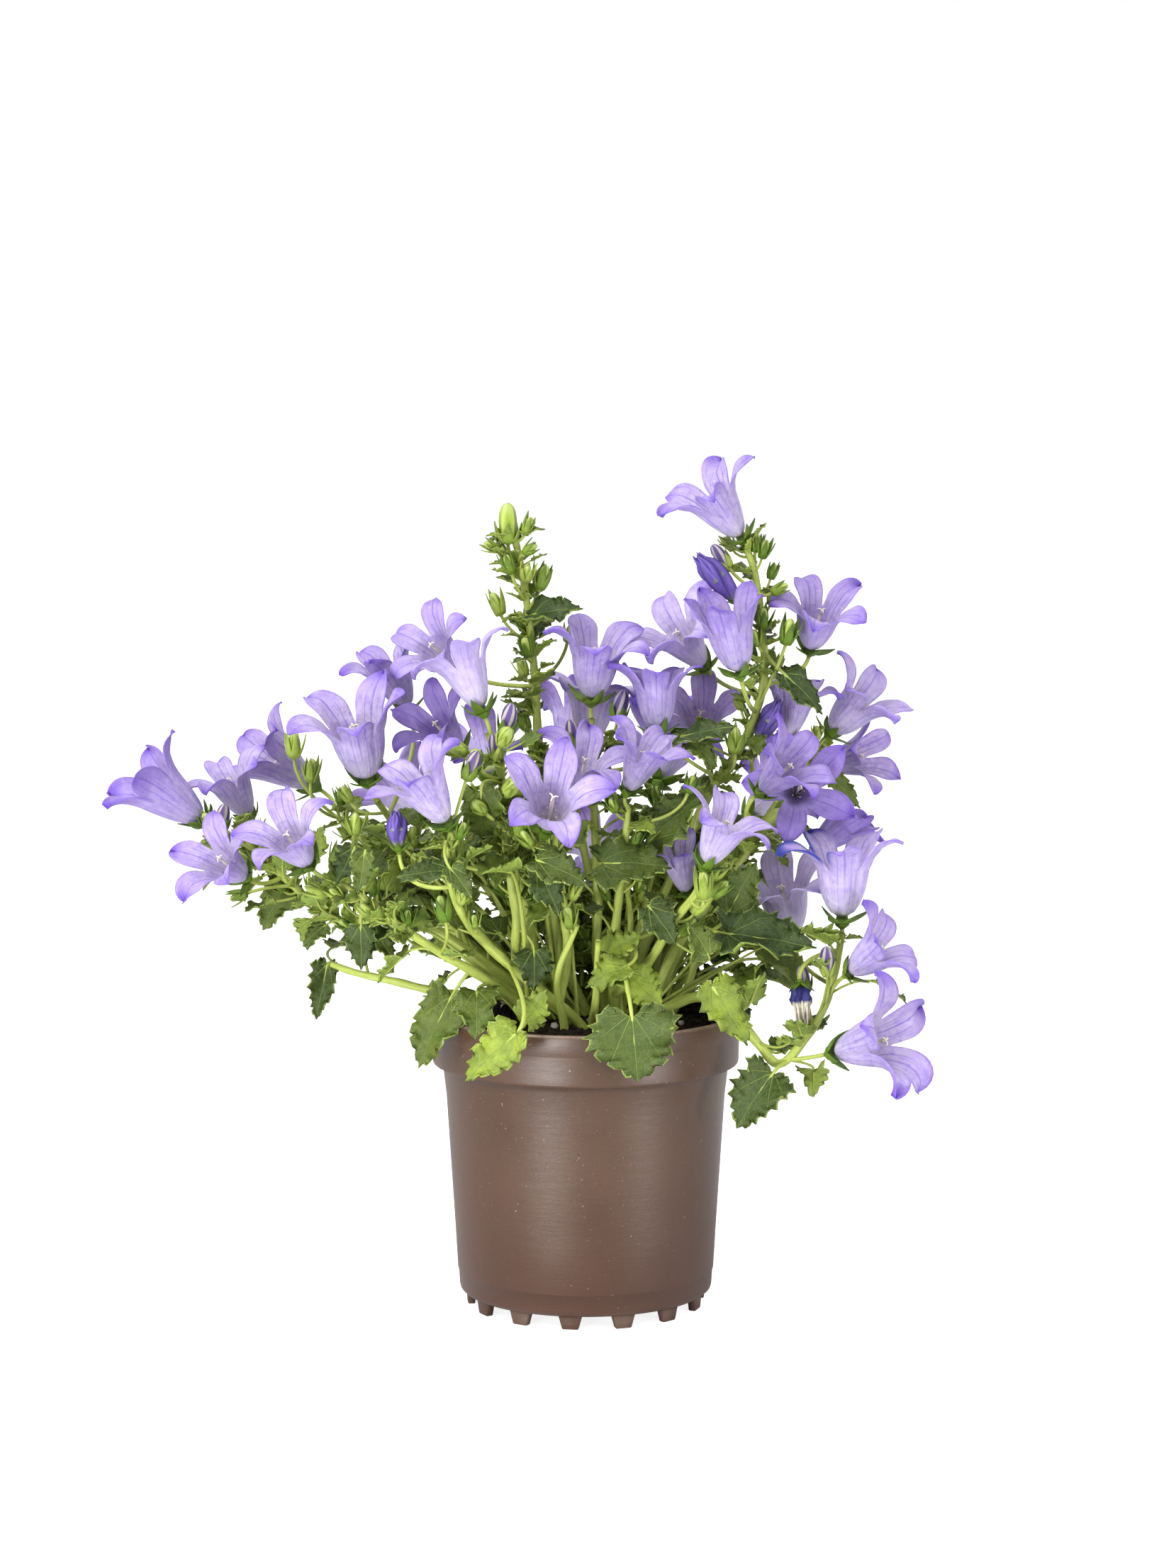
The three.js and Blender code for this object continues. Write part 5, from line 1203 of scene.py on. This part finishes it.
for stem in growing:
    count = int(FILL_PER_MM * spans(stem.samples).sum())
    for k in range(count):
        share = 0.1 + 0.86 * (k + 0.5) / count + rng.uniform(-0.02, 0.02)
        root, axes = spot_at(stem, share)
        tall = np.clip((root[2] - 100) / 120, 0, 1)
        if root[2] < BARE_BELOW and k % 2:
            continue
        for attempt in range(7):
            turn = GOLDEN_ANGLE * k + rng.uniform(-30, 30) + 51 * attempt
            length = (13 - 6 * tall) * rng.uniform(0.75, 1.25)
            reach = (17 - 13 * tall) * rng.uniform(0.4, 1.3)
            base, tip, face = sprout(root, axes, turn, reach, math.radians(rng.uniform(35, 70)),
                                     rng.uniform(0.0, 0.7), length)
            face = face + vec(*rng.uniform(-0.3, 0.3, 3))
            if try_leaf(stem, root, (base, tip, face), length * 0.75, any_bend(),
                        rng.uniform(0.0, 0.7), 2.6, 0.9):
                break


def try_bud(stem, root, axes, out):
    """A young bud near the stem, where there is room."""
    size = rng.uniform(0.7, 1.15)
    seat = root + out * rng.uniform(3, 6.5) + axes[0] * rng.uniform(3, 7)
    own_axes = axes_along(unit(seat - root) + UP * 0.8)
    tests = [seat, seat + own_axes[0] * 3.5 * size, seat + own_axes[0] * 7 * size]
    if not is_free(tests, 2.2, 1.6, False):
        return False
    take(tests)
    stalk = stalk_curve(root, seat - own_axes[0] * 1.4 * size, own_axes[0])
    add_tube(bodies[stem.node], stalk[::2], np.linspace(0.55, 0.45, 5), STEM, 5, rng.uniform(0, 1))
    add_bud(stem, seat, own_axes, size, rng.uniform(0.3, 1.0), rng, 10, 4, 3)
    return True


# Bracts and young buds in tufts close to the upper stems
for stem in growing:
    tufts = max(1, int(BRACTS_PER_MM * spans(stem.samples).sum() / 4))
    for k in range(4 * tufts):
        root, axes = spot_at(stem, 0.5 + 0.5 * (k // 4 + 0.6) / tufts)
        if root[2] < BARE_BELOW:
            continue
        for attempt in range(5):
            out = radial(axes, GOLDEN_ANGLE * k + 67 * attempt)
            base = root + out * 1.5 + axes[0] * rng.uniform(0.5, 3)
            if k % 4 == 0 and root[2] > 130:
                if try_bud(stem, root, axes, out):
                    break
                continue
            length = rng.uniform(5.5, 11.5)
            lean = unit(out + axes[0] * rng.uniform(0.2, 1.3) + vec(*rng.normal(0, 0.2, 3)))
            if try_leaf(stem, root, (base, base + lean * length, axes[0] - 0.3 * out),
                        length * rng.uniform(0.55, 0.85), any_bend(), rng.uniform(0.0, 0.9),
                        1.8, 0.3):
                break

# Young buds with a bract each, and young leaves, in front of the blooms
front_rng = np.random.default_rng(5)
for stem, *seat, right, up, size in YOUNG_BUDS:
    stem, axes = stems[stem], axes_along(vec(right, -0.35, up))
    root = nearest_on(stem, seat - 8 * axes[0], 8)
    stalk = stalk_curve(root, seat - 1.4 * size * axes[0], axes[0])
    add_tube(bodies[stem.node], stalk, np.linspace(0.85, 0.7, len(stalk)), STEM, 6, 0.6)
    add_bud(stem, vec(*seat), axes, size, front_rng.uniform(0.4, 0.9), front_rng, 16, 4, 3,
            plump=True)
    out = unit(unit(seat - root) - 0.6 * UP + front_rng.normal(0, 0.35, 3))
    start = root + 1.4 * out
    length = front_rng.uniform(6, 9.5)
    blade = make_blade(start, start + length * out, TOWARD_VIEWER + 0.5 * UP, 0.7 * length,
                       0.15, 0.2, 1)
    add_leaf(stem, blade, None, front_rng.uniform(0.2, 0.8), front_rng)
for stem, *ends, width, youth in YOUNG_LEAVES:
    blade = make_blade(*np.reshape(ends, (2, 3)), TOWARD_VIEWER, width, 0.12, 0.15, 2)
    root = nearest_on(stems[stem], blade.base - 5 * blade.axes[0], 8)
    add_leaf(stems[stem], blade, stalk_curve(root, blade.base, blade.axes[0]), youth, front_rng)

for node, body in bodies.items():
    body.finish(node.replace("stem_", "leafy_"), GREEN, [node], "leafy")

for bloom in blooms:
    body = Body()
    add_bell(body, bloom, (OUTSIDE, INSIDE, OUTSIDE), rng)
    add_style(body, bloom, STYLE, rng)
    body.finish(bloom.node.replace("bloom", "petals"), PETALS, [bloom.node], "petal")

for bud in closed:
    body, length, is_spent = Body(), bud.length, bud.skin == "spent"
    radius = bud.radius * (1 if is_spent else 0.86)
    heights, widths = CLOSED_SHAPE.T
    if is_spent:
        widths = np.array([0.5, 0.95, 1.2, 1.1, 1.15, 0.8, 0.6, 0.5, 0.36, 0.1])
        widths *= 1 + 0.16 * np.sin(np.arange(10) * 2.4)
    add_turned(body, bud.base, bud.axes, np.column_stack([
        BELL_SEAT + heights * (length - BELL_SEAT), widths * radius]), 0, 40, 0.5, 0.3, 1.3)
    for k in range(9 if is_spent else LOBES):
        if is_spent:
            reach, u = rng.uniform(6, 10), np.linspace(0, 1, 7)
            line = placed(bud.base, (bud.axes[0], radial(bud.axes, 40 * k)),
                          0.46 * length + u * reach,
                          radius * (1.02 - 0.45 * u) + rng.uniform(-0.3, 1.2) * u * u)
            add_tube(body, line, np.interp(u, [0, 0.3, 1], [0.5, 0.75, 0.3]), 1, 6, flat=0.6)
        else:
            add_sepal(body, bud.base, bud.axes, 72 * k + 40, (0.5 * length, 0.85 * radius),
                      (1.04 * length, 0.4 * radius), 1.3 * radius, 0, 0.5, 0.3)
    body.finish(bud.node + "_petals", [CLOSED_SKINS[bud.skin], PETALS[STYLE]], [bud.node],
                "withered" if is_spent else "closed_petal")

# Pot ------------------------------------------------------------------------------------
FEET, FOOT_TURN, FOOT_RING = 14, 18.4, 40.6
DRAINS, DRAIN_RING, DRAIN_RADIUS = 5, 30, 3.5
# Radius and height, from the middle of the base round the rim to the middle of the floor
POT_PROFILE = table("""
.01 4.5; 12 4.5; 24 4.5; 36 4.5; 40.6 4.5; 41.9 4.8; 42.8 5.6; 43.1 6.8; 43.4 11.9; 43.62 12.1;
43.7 12.4; 44.6 28; 46 50; 47.4 72; 48.5 81.4; 48.75 82.6; 49.4 83.2; 51.4 83.3; 51.95 83.6;
52.05 84.4; 52.1 87; 52.3 93.5; 52.35 94; 52.42 94.2; 52.45 99.6; 52.35 100.5; 51.95 100.95;
51.5 100.95; 51.2 100.5; 51.1 96; 50.6 86; 50.2 85.2; 47.6 83.4; 47.4 82.4; 44.7 40; 41.9 7;
41.2 6.1; 39.6 5.8; 24 5.8; 12 5.8; .01 5.8;""")
# Height, half width and depth of a foot, and the corners of its section
FOOT_ROWS = table("0 2.5 2.1; .35 2.75 2.5; 2 3.2 2.6; 3.6 3.65 2.6; 4.7 4 2.8")
FOOT_CORNERS = np.array(table("""-1 -.8; -.9 -1; 0 -1; .9 -1; 1 -.8; 1 .8; .9 1; 0 1; -.9 1;
    -1 .8""")).T


def lathe(body, profile, sides, middle=(0, 0, 0)):
    angles = np.arange(sides) * 2 * math.pi / sides
    loft(body, [placed(middle, (UP, SIDEWAYS, AROUND[2]), z, np.cos(angles) * r,
                       np.sin(angles) * r) for r, z in profile], 0)


body, drills, feet = Body(), Body(), Body()
lathe(body, POT_PROFILE, 160)
pot = body.finish("nursery_pot", [pot_material()], ["pot"], "pot")
for k in range(DRAINS):
    lathe(drills, [(DRAIN_RADIUS, 2), (DRAIN_RADIUS, 9)], 24,
          radial(AROUND, 360 / DRAINS * k) * DRAIN_RING)
cutter = drills.shape("drills")
cut = pot.modifiers.new("drains", "BOOLEAN")
cut.object, cut.operation, cut.solver = cutter, "DIFFERENCE", "EXACT"
bpy.context.view_layer.update()
pot.data = bpy.data.meshes.new_from_object(
    pot.evaluated_get(bpy.context.evaluated_depsgraph_get()))
pot.modifiers.clear()
bpy.data.objects.remove(cutter)
for k in range(FEET):
    out = radial(AROUND, FOOT_TURN - 90 + 360 / FEET * k)
    across, deep = FOOT_CORNERS
    loft(feet, [placed(0, (out, np.cross(UP, out), UP), FOOT_RING - 1.3 + deep * depth / 2,
                       across * half, np.full(10, z)) for z, half, depth in FOOT_ROWS], 0)
feet.finish("pot_feet", [pot.data.materials[0]], ["pot"], "pot")


# Soil -----------------------------------------------------------------------------------
def soil_height(x, y):
    """Height of the soil's top away from its own crumbs."""
    crown = np.interp(np.hypot(x, y), [0, 16, 30, 42, 51], [98.2, 98.2, 97.6, 97.1, 96.2])
    coarse = np.sin(0.41 * x + 1.3) * np.sin(0.37 * y + 0.4)
    return crown + 0.7 * (coarse + 0.5 * np.sin(0.83 * x - 0.7 * y))


CRUMB_POINTS = np.array([(x, y, z) for x in (-1, 0, 1) for y in (-1, 0, 1) for z in (-1, 0, 1)
                         if abs(x) + abs(y) + abs(z) in (1, 3)], float)


def crumb_faces():
    """Triangles of the lump: each face of a cube as four round its middle."""
    faces, reach = [], np.abs(CRUMB_POINTS).sum(axis=1)
    for m in np.flatnonzero(reach == 1).tolist():
        middle = CRUMB_POINTS[m]
        axis = int(np.abs(middle).argmax())
        around = np.flatnonzero((reach == 3) & (CRUMB_POINTS[:, axis] == middle[axis])).tolist()
        first, second = (k for k in range(3) if k != axis)
        around.sort(key=lambda i: math.atan2(CRUMB_POINTS[i][second], CRUMB_POINTS[i][first]))
        for a, b in zip(around, around[1:] + around[:1]):
            normal = np.cross(CRUMB_POINTS[a] - middle, CRUMB_POINTS[b] - middle)
            faces.append((m, a, b) if normal.dot(middle) > 0 else (m, b, a))
    return faces


CRUMB_FACES = crumb_faces()


def add_crumbs(body, count, ring, nearest, sizes, rough):
    """Small angular lumps, half in the soil."""
    for _ in range(count):
        r, angle = ring * math.sqrt(rng.uniform(nearest, 1)), rng.uniform(0, 2 * math.pi)
        x, y, size = r * math.cos(angle), r * math.sin(angle), rng.uniform(*sizes)
        points = CRUMB_POINTS / np.linalg.norm(CRUMB_POINTS, axis=1)[:, None]
        points = points * (1 + rng.uniform(-rough, rough, len(points)) * 0.5)[:, None]
        points *= size * rng.uniform(0.6, 1.3, 3)
        points = points @ np.array(axes_along(rng.uniform(-1, 1, 3)))
        body.add(points + vec(x, y, soil_height(x, y) + size * 0.1), CRUMB_FACES, 0)


def soil_rings(sides=96, edge=49.3):
    angles = np.arange(sides) * 2 * math.pi / sides
    for r in np.linspace(0.4, edge, 44):
        jitter = rng.uniform(-0.5, 0.5, (2, sides)) * min(1, r / 6) * (r < edge - 0.5)
        x, y = r * np.cos(angles) + jitter[0], r * np.sin(angles) + jitter[1]
        high = soil_height(x, y) + rng.normal(0, 0.42, sides) * min(1, r / 4)
        yield columns_of(x, y, high - np.interp(r, [0, edge - 3, edge], [0.3, 0.3, 0.8]))
    for r, z in table("49.3 93; 48.4 87; 46.6 82; 44.5 50; 40.4 6.6; 20 6.3; .3 6.3"):
        yield columns_of(r * np.cos(angles), r * np.sin(angles), z)


body = Body()
loft(body, list(soil_rings()), 0)
add_crumbs(body, 700, 48.3, 0.01, (0.5, 1.7), 0.55)
body.finish("peat_soil", [soil_material()], ["soil"], "soil")
body = Body()
add_crumbs(body, 56, 48, 0.05, (0.7, 1.8), 0.25)
body.finish("perlite_bits", [perlite_material()], [], None)

# Floor, light and camera ------------------------------------------------------------------
floor_mesh = bpy.data.meshes.new("floor")
floor_mesh.from_pydata([(-6, -6, 0), (6, -6, 0), (6, 6, 0), (-6, 6, 0)], [], [(0, 1, 2, 3)])
floor_mesh.materials.append(floor_material())
floor = link("floor", floor_mesh)

scene = bpy.context.scene
scene.view_settings.view_transform = "Standard"
world = scene.world = bpy.data.worlds.new("studio")
world.use_nodes = True
tree = world.node_tree
backdrop = tree.nodes["Background"]
backdrop.inputs["Color"].default_value = (1, 1, 1, 1)
backdrop.inputs["Strength"].default_value = 1.0
# The camera sees plain white, and the plant is lit by less
choice = add_node(tree, "MixShader", {
    0: add_node(tree, "LightPath", out="Is Camera Ray"),
    1: add_node(tree, "Background", {"Color": (1, 1, 1, 1), "Strength": AMBIENT}),
    2: Value(backdrop.outputs[0])})
put(tree.nodes["World Output"].inputs["Surface"], choice)

# Broad far lights: azimuth (0 is the camera's side, and positive is to the right),
# elevation, angle, strength
for name, azimuth, elevation, angle, strength in (
        ("key", -52, 50, 40, KEY), ("fill", 38, 35, 60, FILL), ("back", 165, 42, 60, BACK)):
    light = bpy.data.lights.new(name, "SUN")
    light.angle, light.energy = math.radians(angle), strength
    lamp = link(name, light)
    lamp.rotation_euler = (math.radians(90 - elevation), 0, math.radians(azimuth))
    lamp.location = Vector(UP)
# Upright soft boxes on the floor: azimuth, distance, width, height, power
for name, azimuth, distance, width, height, power in table("""
        left_box -40 1.25 .4 1.3 6; left_strip -27 .42 .08 .1 .9; right_strip 46 .42 .05 .1 .52"""):
    light = bpy.data.lights.new(name, "AREA")
    light.shape, light.size, light.size_y, light.energy = "RECTANGLE", width, height, power
    box, turn = link(name, light), math.radians(azimuth)
    box.location = Vector((OFFSET[0] + distance * math.sin(turn),
                           OFFSET[1] - distance * math.cos(turn), height / 2))
    box.rotation_euler = (math.radians(90), 0, turn)
    box.visible_camera = False

CAMERA_DISTANCE, CAMERA_PITCH, CAMERA_LENS = 1178, math.radians(6.3), 4924 / 2212 * 36
AIM = vec(0.8, 0, 177.7)
camera = bpy.data.cameras.new("camera")
camera.sensor_width, camera.lens, camera.clip_end = 36, CAMERA_LENS, 50
eye = link("camera", camera)
eye.location = Vector(OFFSET + MM * (AIM + CAMERA_DISTANCE * vec(
    0, -math.cos(CAMERA_PITCH), math.sin(CAMERA_PITCH))))
eye.rotation_euler = (math.pi / 2 - CAMERA_PITCH, 0, 0)
scene.camera = eye
